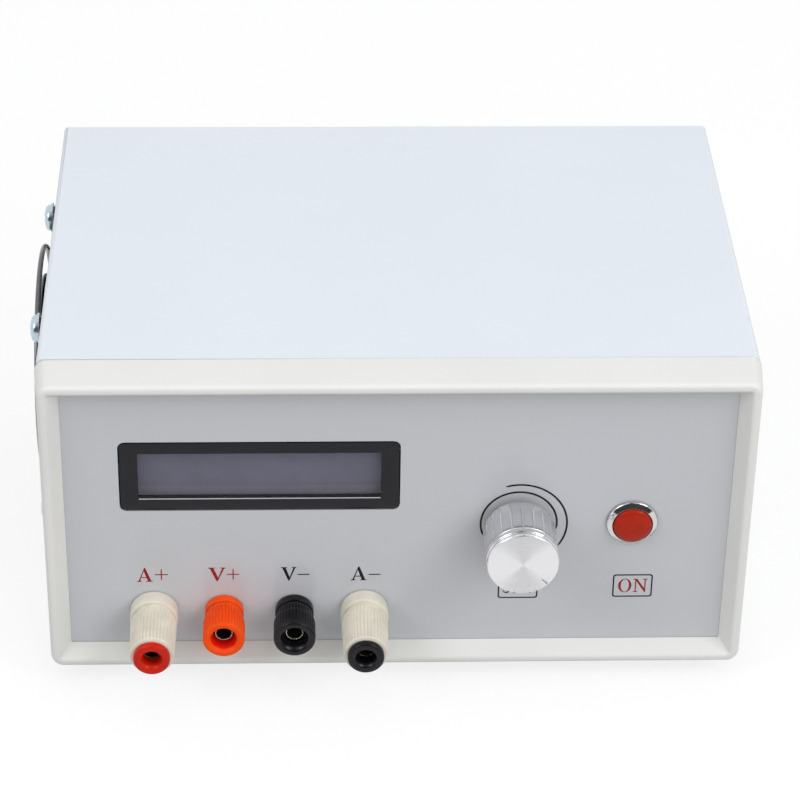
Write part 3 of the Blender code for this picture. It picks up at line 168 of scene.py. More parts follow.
class Finish:
    """One material and the nodes that draw it."""

    def __init__(self, name):
        self.material = bpy.data.materials.new(name)
        self.material.use_nodes = True
        self.tree = self.material.node_tree
        self.tree.nodes.clear()

    def node(self, kind, settings=None, sockets=None, output=0):
        made = self.tree.nodes.new("ShaderNode" + kind)
        for key, value in (settings or {}).items():
            if key == "stops":
                ramp = made.color_ramp
                while len(ramp.elements) < len(value):
                    ramp.elements.new(0.5)
                for element, (position, colour) in zip(ramp.elements, value):
                    element.position = position
                    element.color = (*colour, 1.0)
            else:
                setattr(made, key, value)
        for key, value in (sockets or {}).items():
            if isinstance(value, Wire):
                self.tree.links.new(value.socket, made.inputs[key])
            else:
                made.inputs[key].default_value = value
        return Wire(self, made.outputs[output])

    def coordinates(self, scale=(1, 1, 1), shift=(0, 0, 0)):
        """Object coordinates, moved by shift and then stretched by scale."""
        place = self.node("TexCoord", output="Object")
        moved = self.node("VectorMath", {"operation": "ADD"}, {0: place, 1: shift})
        return self.node("VectorMath", {"operation": "MULTIPLY"}, {0: moved, 1: scale})

    def axes(self, vector=None):
        split = self.node("SeparateXYZ", sockets={0: vector or self.node("TexCoord", output="Object")})
        return [Wire(self, socket) for socket in split.socket.node.outputs]

    def noise(self, scale, detail=2.0, roughness=0.5, vector=None):
        """Noise from 0 to 1 with about scale features a metre."""
        return self.node("TexNoise", {"noise_dimensions": "3D"},
                         {"Vector": vector or self.coordinates(), "Scale": scale, "Detail": detail,
                          "Roughness": roughness})

    def cells(self, scale, vector=None):
        """Distance to the nearest of about scale scattered points a metre, in units of their spacing."""
        return self.node("TexVoronoi", {"feature": "F1"},
                         {"Vector": vector or self.coordinates(), "Scale": scale})

    def tint(self, factor, first, second):
        """A colour between first and second."""
        sockets = {0: factor}
        for key, value in ((6, first), (7, second)):
            sockets[key] = value if isinstance(value, Wire) else (*value, 1.0)
        return self.node("Mix", {"data_type": "RGBA", "clamp_factor": True}, sockets, 2)

    def step(self, value, low, high):
        """Smooth step of value from 0 at low to 1 at high."""
        return self.node("MapRange", {"interpolation_type": "SMOOTHSTEP"}, {0: value, 1: low, 2: high, 3: 0.0, 4: 1.0})

    def bump(self, height, depth, strength=1.0):
        return self.node("Bump", sockets={"Height": height, "Distance": depth, "Strength": strength})

    def shader(self, **values):
        sockets = {}
        for key, value in values.items():
            if isinstance(value, tuple) and len(value) == 3 and key != "normal":
                value = (*value, 1.0)
            sockets[key.replace("_", " ").title().replace("Ior", "IOR")] = value
        return self.node("BsdfPrincipled", sockets=sockets)

    def done(self, shader):
        output = self.tree.nodes.new("ShaderNodeOutputMaterial")
        self.tree.links.new(shader.socket, output.inputs["Surface"])
        return self.material


def scaled(colour, factor):
    return tuple(min(1.0, part * factor) for part in colour)


def sheet_paint(colour):
    """Baked powder paint: soft sheen over a fine orange peel, with faint clouds of tone."""
    paint = Finish("sheet_paint")
    peel = paint.noise(1100, 3, 0.55)
    cloud = paint.noise(18, 3)
    body = paint.tint(paint.step(cloud, 0.3, 0.7), scaled(colour, 0.985), scaled(colour, 1.01))
    grain = paint.tint(paint.step(paint.noise(4200, 1), 0.35, 0.75), body, scaled(colour, 0.97))
    return paint.done(paint.shader(base_color=grain, roughness=0.42 + peel * 0.16,
                                   normal=paint.bump(peel, 0.000035, 0.55)))


def moulded_bezel(colour):
    """Fine spark-eroded plastic with a few dark specks in it."""
    plastic = Finish("moulded_bezel")
    grain = plastic.noise(2300, 2, 0.6)
    cloud = plastic.noise(35, 3)
    spots = plastic.cells(130)
    specks = (spots < 0.045) * (plastic.noise(60, 1) > 0.60)
    body = plastic.tint(plastic.step(cloud, 0.3, 0.7), scaled(colour, 0.985), scaled(colour, 1.008))
    body = plastic.tint(specks * 0.75, body, scaled(colour, 0.25))
    return plastic.done(plastic.shader(base_color=body, roughness=0.40 + grain * 0.18,
                                       normal=plastic.bump(grain, 0.00002, 0.5)))


def glossy_panel(colour):
    """Lacquered panel film: pearly grain under a smooth gloss that is slightly uneven."""
    film = Finish("glossy_panel")
    pearl = film.noise(5200, 1)
    smear = film.noise(26, 4, 0.6)
    body = film.tint(film.step(pearl, 0.25, 0.75), scaled(colour, 0.985), scaled(colour, 1.012))
    wave = film.noise(90, 2)
    return film.done(film.shader(base_color=body, roughness=0.13 + smear * 0.12, ior=1.5,
                                 normal=film.bump(wave, 0.00003, 0.35)))


def ink(name, colour):
    """Screen-printed ink with a slightly broken edge of tone."""
    print_ = Finish(name)
    mottle = print_.noise(2600, 2)
    body = print_.tint(print_.step(mottle, 0.35, 0.8), colour, tuple(part + 0.012 for part in colour))
    return print_.done(print_.shader(base_color=body, roughness=0.34 + mottle * 0.15, specular_ior_level=0.20,
                                     normal=print_.bump(mottle, 0.00001, 0.4)))


def lens_print(colour):
    """Black print behind smooth clear plastic, with faint hairline scratches in the gloss."""
    lens = Finish("lens_print")
    hair = lens.noise(900, 2, 0.6, lens.coordinates((1, 1, 9)))
    body = lens.tint(lens.step(hair, 0.4, 0.8), colour, tuple(part + 0.004 for part in colour))
    return lens.done(lens.shader(base_color=body, roughness=0.10 + hair * 0.10, specular_ior_level=0.26,
                                 normal=lens.bump(lens.noise(70, 1), 0.00002, 0.3)))


def smoked_window():
    """Lightly smoked clear window: mostly see-through, with a smooth gloss."""
    pane = Finish("smoked_window")
    haze = pane.noise(240, 3)
    gloss = pane.shader(base_color=(0.030, 0.030, 0.036), roughness=0.06 + haze * 0.05, ior=1.49)
    clear = pane.node("BsdfTransparent", sockets={"Color": (0.94, 0.94, 0.96, 1.0)})
    factor = 0.22 + pane.step(haze, 0.45, 0.8) * 0.02
    return pane.done(pane.node("MixShader", sockets={0: factor, 1: clear, 2: gloss}))


def display_cells(colour):
    """Unlit two-line display: polariser grey with the faint grid of its character cells, and painted light on its lower
    part.
    """
    glass = Finish("display_cells")
    x, y, z = glass.axes()
    middle_x, middle_z = MIDDLE_X - 0.0368, UNDERSIDE + 0.0600
    across = ((x - middle_x + 0.0284) / 0.00355).math("FRACT")
    row = ((z - middle_z + 0.0058) / 0.0058).math("FRACT")
    inside_x = glass.step(across, 0.05, 0.09) * (1 - glass.step(across, 0.86, 0.90))
    inside_z = glass.step(row, 0.04, 0.07) * (1 - glass.step(row, 0.92, 0.95))
    span = ((x - middle_x).math("ABSOLUTE") < 0.0284) * ((z - middle_z).math("ABSOLUTE") < 0.0058)
    cells = inside_x * inside_z * span
    cloud = glass.noise(40, 3)
    # Painted light: the glass below 59.7 mm up is painted lighter than the rest.
    low = 1 - glass.step(z, 0.0597, 0.0601)
    body = glass.tint(glass.step(cloud, 0.3, 0.75), scaled(colour, 0.96), scaled(colour, 1.04))
    body = glass.tint(cells * 0.10, body, scaled(colour, 0.80))
    body = glass.tint(low, body, (colour[0] * 1.22, colour[1] * 1.16, colour[2] * 1.02))
    return glass.done(glass.shader(base_color=body, roughness=0.24 + cloud * 0.08, ior=1.5))


def post_plastic(name, colour, roughness=0.34, specks=0.0, gloss=0.32, depth=0.0, mouth=None):
    """Hard moulded plastic with faint flow clouds and a fine grain; depth lets some light through its thin walls.

    mouth is (x of the axis, colour): inside its open mouth the plastic is painted that deeper colour, painted shade
    tinted by the light that bounces round in the hollow.
    """
    plastic = Finish(name)
    grain = plastic.noise(3100, 2, 0.6)
    cloud = plastic.noise(210, 3)
    body = plastic.tint(plastic.step(cloud, 0.3, 0.7), scaled(colour, 0.94), scaled(colour, 1.04))
    if specks:
        body = plastic.tint((plastic.cells(700) < 0.06) * specks, body, scaled(colour, 0.45))
    if mouth:
        axis, inner = mouth
        x, y, z = plastic.axes()
        across, up = x - axis, z - POST_HEIGHT
        radius = (across * across + up * up).math("SQRT")
        # Painted shade: a deeper, darker colour inside the mouth's radius.
        body = plastic.tint(1 - plastic.step(radius, 0.0033, 0.0037), body, inner)
    return plastic.done(plastic.shader(base_color=body, roughness=roughness + grain * 0.12, specular_ior_level=gloss,
                                       subsurface_weight=depth, subsurface_scale=0.0015,
                                       normal=plastic.bump(grain, 0.000012, 0.5)))


def bored_brass(name, colour):
    """Plated brass with painted shade in its plug sockets, which are painted near black and dull inside; the posts'
    axes repeat along X.
    """
    metal = Finish(name)
    x, y, z = metal.axes()
    across = (((x - POSTS["a_plus"]) / POST_PITCH + 0.5).math("FRACT") - 0.5) * POST_PITCH
    up = z - POST_HEIGHT
    radius = (across * across + up * up).math("SQRT")
    outer = metal.step((x - (POSTS["a_plus"] + POSTS["a_minus"]) / 2).math("ABSOLUTE"), 0.0185, 0.0195)
    # Painted shade: inside each socket the brass is painted near black and not metallic, over a wider disc on the outer
    # posts.
    socket_painted_shade = 1 - metal.step(radius - outer * 0.0004, 0.00198, 0.00208)
    patch = metal.noise(420, 3)
    body = metal.tint(metal.step(patch, 0.3, 0.75), colour, scaled(colour, 0.86))
    body = metal.tint(socket_painted_shade, body, (0.012, 0.011, 0.010))
    return metal.done(metal.shader(base_color=body, metallic=1 - socket_painted_shade, roughness=0.20 + patch * 0.08 + socket_painted_shade * 0.4,
                                   normal=metal.bump(metal.noise(3400, 2), 0.000006, 0.4)))


def plated(name, colour, roughness=0.14, tarnish=0.08):
    """Bright plating with a soft patchiness in tone and gloss."""
    metal = Finish(name)
    patch = metal.noise(420, 3)
    fine = metal.noise(3400, 2)
    body = metal.tint(metal.step(patch, 0.3, 0.75), colour, scaled(colour, 1.0 - 2.0 * tarnish))
    return metal.done(metal.shader(base_color=body, metallic=1.0, roughness=roughness + patch * tarnish,
                                   normal=metal.bump(fine, 0.000006, 0.4)))


def blue_zinc(colour):
    """Passivated zinc: blue-grey with warmer rainbow clouds."""
    zinc = Finish("blue_zinc")
    cloud = zinc.noise(520, 3, 0.6)
    warm = (colour[0] * 1.25, colour[1] * 1.12, colour[2] * 0.92)
    body = zinc.tint(zinc.step(cloud, 0.35, 0.7), colour, warm)
    return zinc.done(zinc.shader(base_color=body, metallic=1.0, roughness=0.20 + cloud * 0.14,
                                 normal=zinc.bump(zinc.noise(2600, 2), 0.000008, 0.5)))


def spun_metal(name, colour, axis, flutes, pitch=0.00016, slope=0.42):
    """Metal faced on a lathe: the normal leans in and out along the radius in fine concentric grooves.

    slope times the sine of (radius / pitch) tilts the normal along the direction away from the axis,
    which draws the light into the bow tie of a spun face. The ridges between the milled flats keep the
    same turned grooves along the axis.
    """
    metal = Finish(name)
    x, y, z = metal.axes()
    across, up = x - axis[0], z - axis[1]
    radius = (across * across + up * up).math("SQRT").math("MAXIMUM", 0.00005)
    groove = (radius * (2 * math.pi / pitch)).math("SINE") + (radius * (2 * math.pi / (pitch * 2.7))).math("SINE") * 0.5
    lean = groove * slope / radius
    turn = up.math("ARCTAN2", across) * (flutes / (2 * math.pi)) + 0.5
    ridge = 1 - metal.step((turn.math("FRACT") - 0.5).math("ABSOLUTE"), 0.06, 0.09)
    side = metal.step(y, PANEL_FRONT - 0.0186, PANEL_FRONT - 0.0184)
    along = (y * (2 * math.pi / pitch)).math("SINE") * (0.10 + ridge * 0.55) * side
    away = metal.node("CombineXYZ", sockets={0: across * lean, 1: along, 2: up * lean})
    world = metal.node("VectorTransform", {"vector_type": "VECTOR", "convert_from": "OBJECT", "convert_to": "WORLD"},
                       {0: away})
    geometry = metal.node("NewGeometry", output="Normal")
    leaned = metal.node("VectorMath", {"operation": "ADD"}, {0: geometry, 1: world})
    normal = metal.node("VectorMath", {"operation": "NORMALIZE"}, {0: leaned})
    stain = metal.noise(900, 2)
    # Painted light: the fluted side is painted 8% lighter than the spun face of the same metal.
    body = metal.tint(side, colour, scaled(colour, 1.08))
    body = metal.tint(metal.step(stain, 0.35, 0.75) * 0.15, body, scaled(colour, 0.90))
    return metal.done(metal.shader(base_color=body, metallic=1.0, roughness=0.20 + stain * 0.03, normal=normal))


def brushed(name, colour, stretch, roughness=0.30):
    """Plain metal with fine lines drawn out along one direction."""
    metal = Finish(name)
    lines = metal.noise(700, 2, 0.6, metal.coordinates(stretch))
    body = metal.tint(metal.step(lines, 0.3, 0.7), scaled(colour, 0.90), colour)
    return metal.done(metal.shader(base_color=body, metallic=1.0, roughness=roughness + lines * 0.15,
                                   normal=metal.bump(lines, 0.00001, 0.5)))


def soft_rubber():
    """Black rubber with a dusty matt bloom."""
    rubber = Finish("soft_rubber")
    dust = rubber.noise(380, 4, 0.65)
    body = rubber.tint(rubber.step(dust, 0.45, 0.85), (0.016, 0.016, 0.017), (0.045, 0.044, 0.043))
    return rubber.done(rubber.shader(base_color=body, roughness=0.72 + dust * 0.15,
                                     normal=rubber.bump(rubber.noise(1900, 2), 0.00003, 0.6)))


def solder_mask(name, horizontal):
    """Green circuit board: darker copper tracks in two directions under the mask and tinned pads."""
    board = Finish(name)
    x, y, z = board.axes()
    second = y if horizontal else z
    lanes = ((second / 0.0019).math("FRACT") < 0.34) * (board.noise(70, 1) > 0.50)
    rungs = ((x / 0.0023).math("FRACT") < 0.30) * (board.noise(55, 1, 0.5, board.coordinates(shift=(3, 1, 2))) > 0.56)
    tracks = lanes.math("MAXIMUM", rungs)
    pads = board.cells(260) < 0.16
    body = board.tint(tracks, (0.012, 0.125, 0.050), (0.020, 0.200, 0.080))
    body = board.tint(pads, body, (0.62, 0.62, 0.60))
    return board.done(board.shader(base_color=body, roughness=0.32 + board.noise(900, 2) * 0.12, metallic=pads * 0.8,
                                   normal=board.bump(tracks, 0.00004, 0.6)))


# Surfaces

def quads(rows, columns, wrap_rows, wrap_columns):
    """Corner indices of the quads of a grid, joined end to start where it wraps."""
    row = np.arange(rows if wrap_rows else rows - 1)[:, None]
    column = np.arange(columns if wrap_columns else columns - 1)[None, :]
    below, after = (row + 1) % rows, (column + 1) % columns
    corners = (row * columns + column, row * columns + after, below * columns + after, below * columns + column)
    return np.stack(corners, -1).reshape(-1, 4)


def piece(name, sheets, material, body, slot, stands_for=(), sharp=38.0):
    """One finished object from grids of points, each (points[rows, columns, 3], wrap_rows, wrap_columns)."""
    points, faces, count = [], [], 0
    for grid, wrap_rows, wrap_columns in sheets:
        rows, columns = grid.shape[:2]
        points.append(grid.reshape(-1, 3))
        faces.append(quads(rows, columns, wrap_rows, wrap_columns) + count)
        count += rows * columns
    points, faces = np.concatenate(points), np.concatenate(faces)
    mesh = bpy.data.meshes.new(name)
    mesh.vertices.add(len(points))
    mesh.vertices.foreach_set("co", points.astype(np.float32).ravel())
    mesh.loops.add(faces.size)
    mesh.loops.foreach_set("vertex_index", faces.astype(np.int32).ravel())
    mesh.polygons.add(len(faces))
    mesh.polygons.foreach_set("loop_start", np.arange(0, faces.size, 4, dtype=np.int32))
    mesh.update(calc_edges=True)
    return placed(name, mesh, material, body, stands_for, sharp)


def placed(name, mesh, material, body, stands_for=(), sharp=38.0):
    """Merge doubles, turn the faces outwards, shade by angle and hang the piece on its body."""
    shape = bmesh.new()
    shape.from_mesh(mesh)
    bmesh.ops.remove_doubles(shape, verts=shape.verts, dist=4e-7)
    bmesh.ops.recalc_face_normals(shape, faces=shape.faces)
    shape.to_mesh(mesh)
    shape.free()
    mesh.shade_smooth()
    mesh.set_sharp_from_angle(angle=math.radians(sharp))
    mesh.materials.append(material)
    made = bpy.data.objects.new(name, mesh)
    bpy.context.scene.collection.objects.link(made)
    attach(made, body)
    if stands_for:
        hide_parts(*stands_for)
    return made


def eased(corners, radii, steps=5):
    """A profile with its corners eased: each is swapped for a quadratic curve that starts and ends a radius away."""
    corners = np.asarray(corners, float)
    radii = np.broadcast_to(np.asarray(radii, float), len(corners))
    result = [corners[:1]]
    t = np.linspace(0, 1, steps)[:, None]
    for before, corner, after, radius in zip(corners, corners[1:], corners[2:], radii[1:]):
        if radius <= 0:
            result.append(corner[None])
            continue
        back, ahead = before - corner, after - corner
        start = corner + back * min(radius / np.linalg.norm(back), 0.5)
        end = corner + ahead * min(radius / np.linalg.norm(ahead), 0.5)
        result.append((1 - t) ** 2 * start + 2 * t * (1 - t) * corner + t ** 2 * end)
    result.append(corners[-1:])
    return np.concatenate(result)


def turned(profile, count, centre, facing, closed=False, swell=None):
    """A turned surface: profile rows of (radius, height) carried round the axis in count steps.

    swell(angle, radius, height) is added to the radius, so ribs and flutes are waves in the angle.
    """
    profile = np.asarray(profile, float)
    angle = np.linspace(0, 2 * math.pi, count, endpoint=False)[None, :]
    radius = np.repeat(profile[:, :1], count, 1)
    height = np.repeat(profile[:, 1:2], count, 1)
    if swell is not None:
        radius = radius + swell(angle, radius, height)
    side, up, out = (np.array(direction, float) for direction in FACING[facing])
    around = radius[..., None] * (np.cos(angle)[..., None] * side + np.sin(angle)[..., None] * up)
    return np.array(centre) + around + height[..., None] * out, closed, True


def framed(stations, width, height, centre, facing="front", steps=9):
    """A rounded-rectangle moulding: each station is (inset across, inset up, distance out, corner radius).

    A point on the loop is the corner centre plus the corner radius times (cosine, sine) of its angle.
    """
    stations = np.asarray(stations, float)
    angle = np.concatenate([np.linspace(start, start + math.pi / 2, steps) for start in np.arange(4) * math.pi / 2])
    across = np.repeat([1, -1, -1, 1], steps)
    upward = np.repeat([1, 1, -1, -1], steps)
    inset_x, inset_z, out, corner = (stations[:, index][:, None] for index in range(4))
    x = across * np.maximum(width / 2 - inset_x - corner, 0) + corner * np.cos(angle)
    z = upward * np.maximum(height / 2 - inset_z - corner, 0) + corner * np.sin(angle)
    side, up, away = (np.array(direction, float) for direction in FACING[facing])
    return np.array(centre) + x[..., None] * side + z[..., None] * up + (out + 0 * x)[..., None] * away


def wire(path, radius, sides=12, closed=False):
    """A round wire: a circle carried along the path, square to it, with its ends drawn in to a point."""
    path = np.asarray(path, float)
    if closed:
        along = np.roll(path, -1, 0) - np.roll(path, 1, 0)
    else:
        along = np.gradient(path, axis=0)
    along /= np.linalg.norm(along, axis=1, keepdims=True)
    guide = np.array([1.0, 0.0, 0.0])
    side = np.cross(along, guide)
    side /= np.maximum(np.linalg.norm(side, axis=1, keepdims=True), 1e-9)
    other = np.cross(along, side)
    angle = np.linspace(0, 2 * math.pi, sides, endpoint=False)
    ring = path[:, None] + radius * (np.cos(angle)[None, :, None] * side[:, None] + np.sin(angle)[None, :, None] * other[:, None])
    if not closed:
        ring = np.concatenate([np.repeat(path[:1, None], sides, 1), ring, np.repeat(path[-1:, None], sides, 1)])
    return ring, closed, True


def ribs(count, depth, low, high, shoulder):
    """Grip ribs: between low and high the radius sinks by depth in a flat-bottomed wave of the angle."""
    def swell(angle, radius, height):
        wave = 0.5 - 0.5 * np.cos(count * angle)
        groove = np.clip((wave - 0.42) / 0.40, 0, 1)
        reach = np.clip((height - low) / 0.0003, 0, 1) * np.clip((high - height) / 0.0003, 0, 1)
        return -depth * groove * reach * (radius > shoulder)
    return swell


def rounded_copy(node, name, material, sharp=38.0):
    """A CAD solid's own shape with its loose triangles merged and its curved faces shaded smooth."""
    return placed(name, frame["nodes"][node].data.copy(), material, BODY_OF[node], (node,), sharp)


def dress(node, material):
    """Give a CAD solid that keeps its own mesh a better material."""
    for slot in frame["nodes"][node].material_slots:
        slot.material = material


def plain_copy(node, name, material, sharp=38.0):
    """A rounded copy in one material, whose corner normals lean to the larger faces so that flats stay flat."""
    made = rounded_copy(node, name, material, sharp)
    while len(made.data.materials) > 1:
        made.data.materials.pop(index=0)
    weight = made.modifiers.new("weight", "WEIGHTED_NORMAL")
    weight.keep_sharp = True
    bpy.context.view_layer.update()
    settled = bpy.data.meshes.new_from_object(made.evaluated_get(bpy.context.evaluated_depsgraph_get()))
    made.modifiers.clear()
    old, made.data = made.data, settled
    bpy.data.meshes.remove(old)
    settled.name = name
    return made


# Letters, as outlines in a box one high

LETTERS = {
    "A": [[(0.00, 0.00), (0.31, 0.00), (0.31, 0.045), (0.22, 0.06), (0.275, 0.27), (0.63, 0.27), (0.70, 0.06),
           (0.60, 0.045), (0.60, 0.00), (1.00, 0.00), (1.00, 0.045), (0.92, 0.06), (0.555, 1.00), (0.49, 1.00),
           (0.13, 0.09), (0.10, 0.06), (0.00, 0.045)],
          [(0.30, 0.325), (0.605, 0.325), (0.452, 0.76)]],
    "V": [[(0.00, 1.00), (0.40, 1.00), (0.40, 0.955), (0.31, 0.94), (0.565, 0.25), (0.80, 0.94), (0.70, 0.955),
           (0.70, 1.00), (1.00, 1.00), (1.00, 0.955), (0.915, 0.935), (0.54, 0.00), (0.47, 0.00), (0.10, 0.935),
           (0.00, 0.955)]],
    "N": [[(0.00, 1.00), (0.27, 1.00), (0.79, 0.27), (0.79, 0.93), (0.67, 0.955), (0.67, 1.00), (1.00, 1.00),
           (1.00, 0.955), (0.87, 0.93), (0.87, 0.00), (0.80, 0.00), (0.21, 0.83), (0.21, 0.07), (0.33, 0.045),
           (0.33, 0.00), (0.00, 0.00), (0.00, 0.045), (0.13, 0.07), (0.13, 0.92), (0.00, 0.955)]],
    "E": [[(0.00, 0.00), (0.92, 0.00), (1.00, 0.28), (0.94, 0.28), (0.80, 0.07), (0.38, 0.06), (0.38, 0.47),
           (0.62, 0.47), (0.68, 0.35), (0.74, 0.35), (0.74, 0.66), (0.68, 0.66), (0.62, 0.54), (0.38, 0.54),
           (0.38, 0.94), (0.76, 0.93), (0.88, 0.75), (0.94, 0.75), (0.91, 1.00), (0.00, 1.00), (0.00, 0.955),
           (0.15, 0.93), (0.15, 0.07), (0.00, 0.045)]],
    "T": [[(0.26, 0.00), (0.74, 0.00), (0.74, 0.045), (0.61, 0.07), (0.61, 0.94), (0.80, 0.93), (0.94, 0.72),
           (1.00, 0.72), (0.98, 1.00), (0.02, 1.00), (0.00, 0.72), (0.06, 0.72), (0.20, 0.93), (0.39, 0.94),
           (0.39, 0.07), (0.26, 0.045)]],
    "+": [[(0.00, 0.455), (0.455, 0.455), (0.455, 0.00), (0.545, 0.00), (0.545, 0.455), (1.00, 0.455),
           (1.00, 0.545), (0.545, 0.545), (0.545, 1.00), (0.455, 1.00), (0.455, 0.545), (0.00, 0.545)]],
    "-": [[(0.00, 0.00), (1.00, 0.00), (1.00, 1.00), (0.00, 1.00)]],
}


def ring_letter():
    """The letter O: an ellipse with a narrower ellipse in it."""
    angle = np.linspace(0, 2 * math.pi, 48, endpoint=False)
    outer = np.stack([0.5 + 0.5 * np.cos(angle), 0.5 + 0.52 * np.sin(angle)], 1)
    inner = np.stack([0.5 + 0.31 * np.cos(angle), 0.5 + 0.475 * np.sin(angle)], 1)
    return [outer, inner]


def double_curve_letter():
    """The letter S: a smooth centre line with a stroke that is widest in its middle."""
    knots = np.array([(0.82, 0.80), (0.68, 0.93), (0.46, 0.96), (0.24, 0.90), (0.15, 0.75), (0.25, 0.61), (0.50, 0.51),
                      (0.74, 0.41), (0.85, 0.25), (0.74, 0.10), (0.50, 0.035), (0.27, 0.08), (0.12, 0.22)])
    t = np.linspace(0, len(knots) - 1, 60)
    line = np.stack([np.interp(t, np.arange(len(knots)), knots[:, axis]) for axis in (0, 1)], 1)
    kernel = np.array([1, 4, 6, 4, 1]) / 16
    for axis in (0, 1):
        line[2:-2, axis] = np.convolve(line[:, axis], kernel, "valid")
    along = np.gradient(line, axis=0)
    along /= np.linalg.norm(along, axis=1, keepdims=True)
    across = np.stack([-along[:, 1], along[:, 0]], 1)
    half = (0.030 + 0.065 * np.sin(np.pi * np.linspace(0, 1, len(line))) ** 2)[:, None]
    return [np.concatenate([line + across * half, (line - across * half)[::-1]])]


def outline_mesh(outlines, thickness):
    """A flat filled curve made a thin mesh; an outline inside another is a hole."""
    curve = bpy.data.curves.new("outline", "CURVE")
    curve.dimensions = "2D"
    curve.fill_mode = "BOTH"
    curve.extrude = thickness / 2
    for outline in outlines:
        outline = np.asarray(outline, float)
        spline = curve.splines.new("POLY")
        spline.points.add(len(outline) - 1)
        spline.points.foreach_set("co", np.column_stack([outline, np.zeros(len(outline)), np.ones(len(outline))]).ravel())
        spline.use_cyclic_u = True
    scratch = bpy.data.objects.new("outline", curve)
    bpy.context.scene.collection.objects.link(scratch)
    bpy.context.view_layer.update()
    mesh = bpy.data.meshes.new_from_object(scratch.evaluated_get(bpy.context.evaluated_depsgraph_get()))
    bpy.data.objects.remove(scratch, do_unlink=True)
    bpy.data.curves.remove(curve)
    return mesh


def printed(name, marks, thickness, material):
    """Flat marks on the panel: each is (outlines, left, bottom, width, height), one thin piece in all."""
    whole = bmesh.new()
    for outlines, left, bottom, width, height in marks:
        mesh = outline_mesh([np.asarray(outline, float) * (width, height) for outline in outlines], thickness)
        flat = np.empty(len(mesh.vertices) * 3, np.float32)
        mesh.vertices.foreach_get("co", flat)
        flat = flat.reshape(-1, 3)
        on_panel = np.stack([MIDDLE_X + left + flat[:, 0], PANEL_FRONT - thickness / 2 - flat[:, 2],
                             UNDERSIDE + bottom + flat[:, 1]], 1)
        mesh.vertices.foreach_set("co", on_panel.astype(np.float32).ravel())
        whole.from_mesh(mesh)
        bpy.data.meshes.remove(mesh)
    mesh = bpy.data.meshes.new(name)
    whole.to_mesh(mesh)
    whole.free()
    return placed(name, mesh, material, "case", (), 30.0)


def rounded_outline(width, height, corner, steps=6):
    """A rounded rectangle with its lower left at zero."""
    angle = np.concatenate([np.linspace(start, start + math.pi / 2, steps) for start in np.arange(4) * math.pi / 2])
    across = np.repeat([width - corner, corner, corner, width - corner], steps)
    upward = np.repeat([height - corner, height - corner, corner, corner], steps)
    return np.stack([across + corner * np.cos(angle), upward + corner * np.sin(angle)], 1)


def arc_outline(radius, line, start, end, steps=72):
    """A ribbon along an arc about zero, between two angles in degrees, with tapering round ends."""
    angle = np.radians(np.linspace(start, end, steps))
    half = line / 2 * np.clip(np.minimum(np.arange(steps), np.arange(steps)[::-1]) / 3 + 0.35, 0, 1)
    outer = np.stack([(radius + half) * np.cos(angle), (radius + half) * np.sin(angle)], 1)
    inner = np.stack([(radius - half) * np.cos(angle), (radius - half) * np.sin(angle)], 1)
    return np.concatenate([outer, inner[::-1]])


def sizes():
    return bpy.context.scene.tester_sizes


def colours():
    return bpy.context.scene.tester_colours


class TESTER_OT_bezel(bpy.types.Operator):
    """Build the moulded front bezel"""
    bl_idname = "tester.bezel"
    bl_label = "Front Bezel"

    def execute(self, context):
        edge = sizes().bezel_edge
        profile = eased([(0.5, 1.3, -19.5), (0.5, 1.3, -13.5), (-1.4, 0.0, -13.5), (0.0, 0.0, 0.0), (2.3, 2.3, 0.0),
                         (5.3, 5.3, -4.2), (2.6, 2.6, -4.2), (2.6, 2.6, -12.5), (1.7, 2.5, -13.5), (1.7, 2.5, -19.5)],
                        [0, 0, 0.25, edge / MM * 1.35, 0.8, 0, 0, 0, 0, 0], 8) * MM
        inset_x, inset_z, out = profile.T
        corner = np.maximum(3.4 * MM - inset_z, 0.4 * MM)
        centre = (MIDDLE_X, BEZEL_FRONT, UNDERSIDE + 0.0455)
        shape = framed(np.stack([inset_x, inset_z, out, corner], 1), 0.188, 0.091, centre, steps=12)
        piece("bezel_moulding", [(shape, True, True)], moulded_bezel(tuple(colours().bezel)), "case", "cream_plastic",
              ("front_bezel",), 50.0)
        return {"FINISHED"}


class TESTER_OT_sheet_case(bpy.types.Operator):
    """Finish the folded cover and the base tray"""
    bl_idname = "tester.sheet_case"
    bl_label = "Sheet Case"

    def execute(self, context):
        paint = sheet_paint(tuple(colours().sheet))
        plain_copy("top_cover", "cover_sheet", paint, 28.0)
        plain_copy("base_tray", "tray_sheet", paint, 28.0)
        return {"FINISHED"}


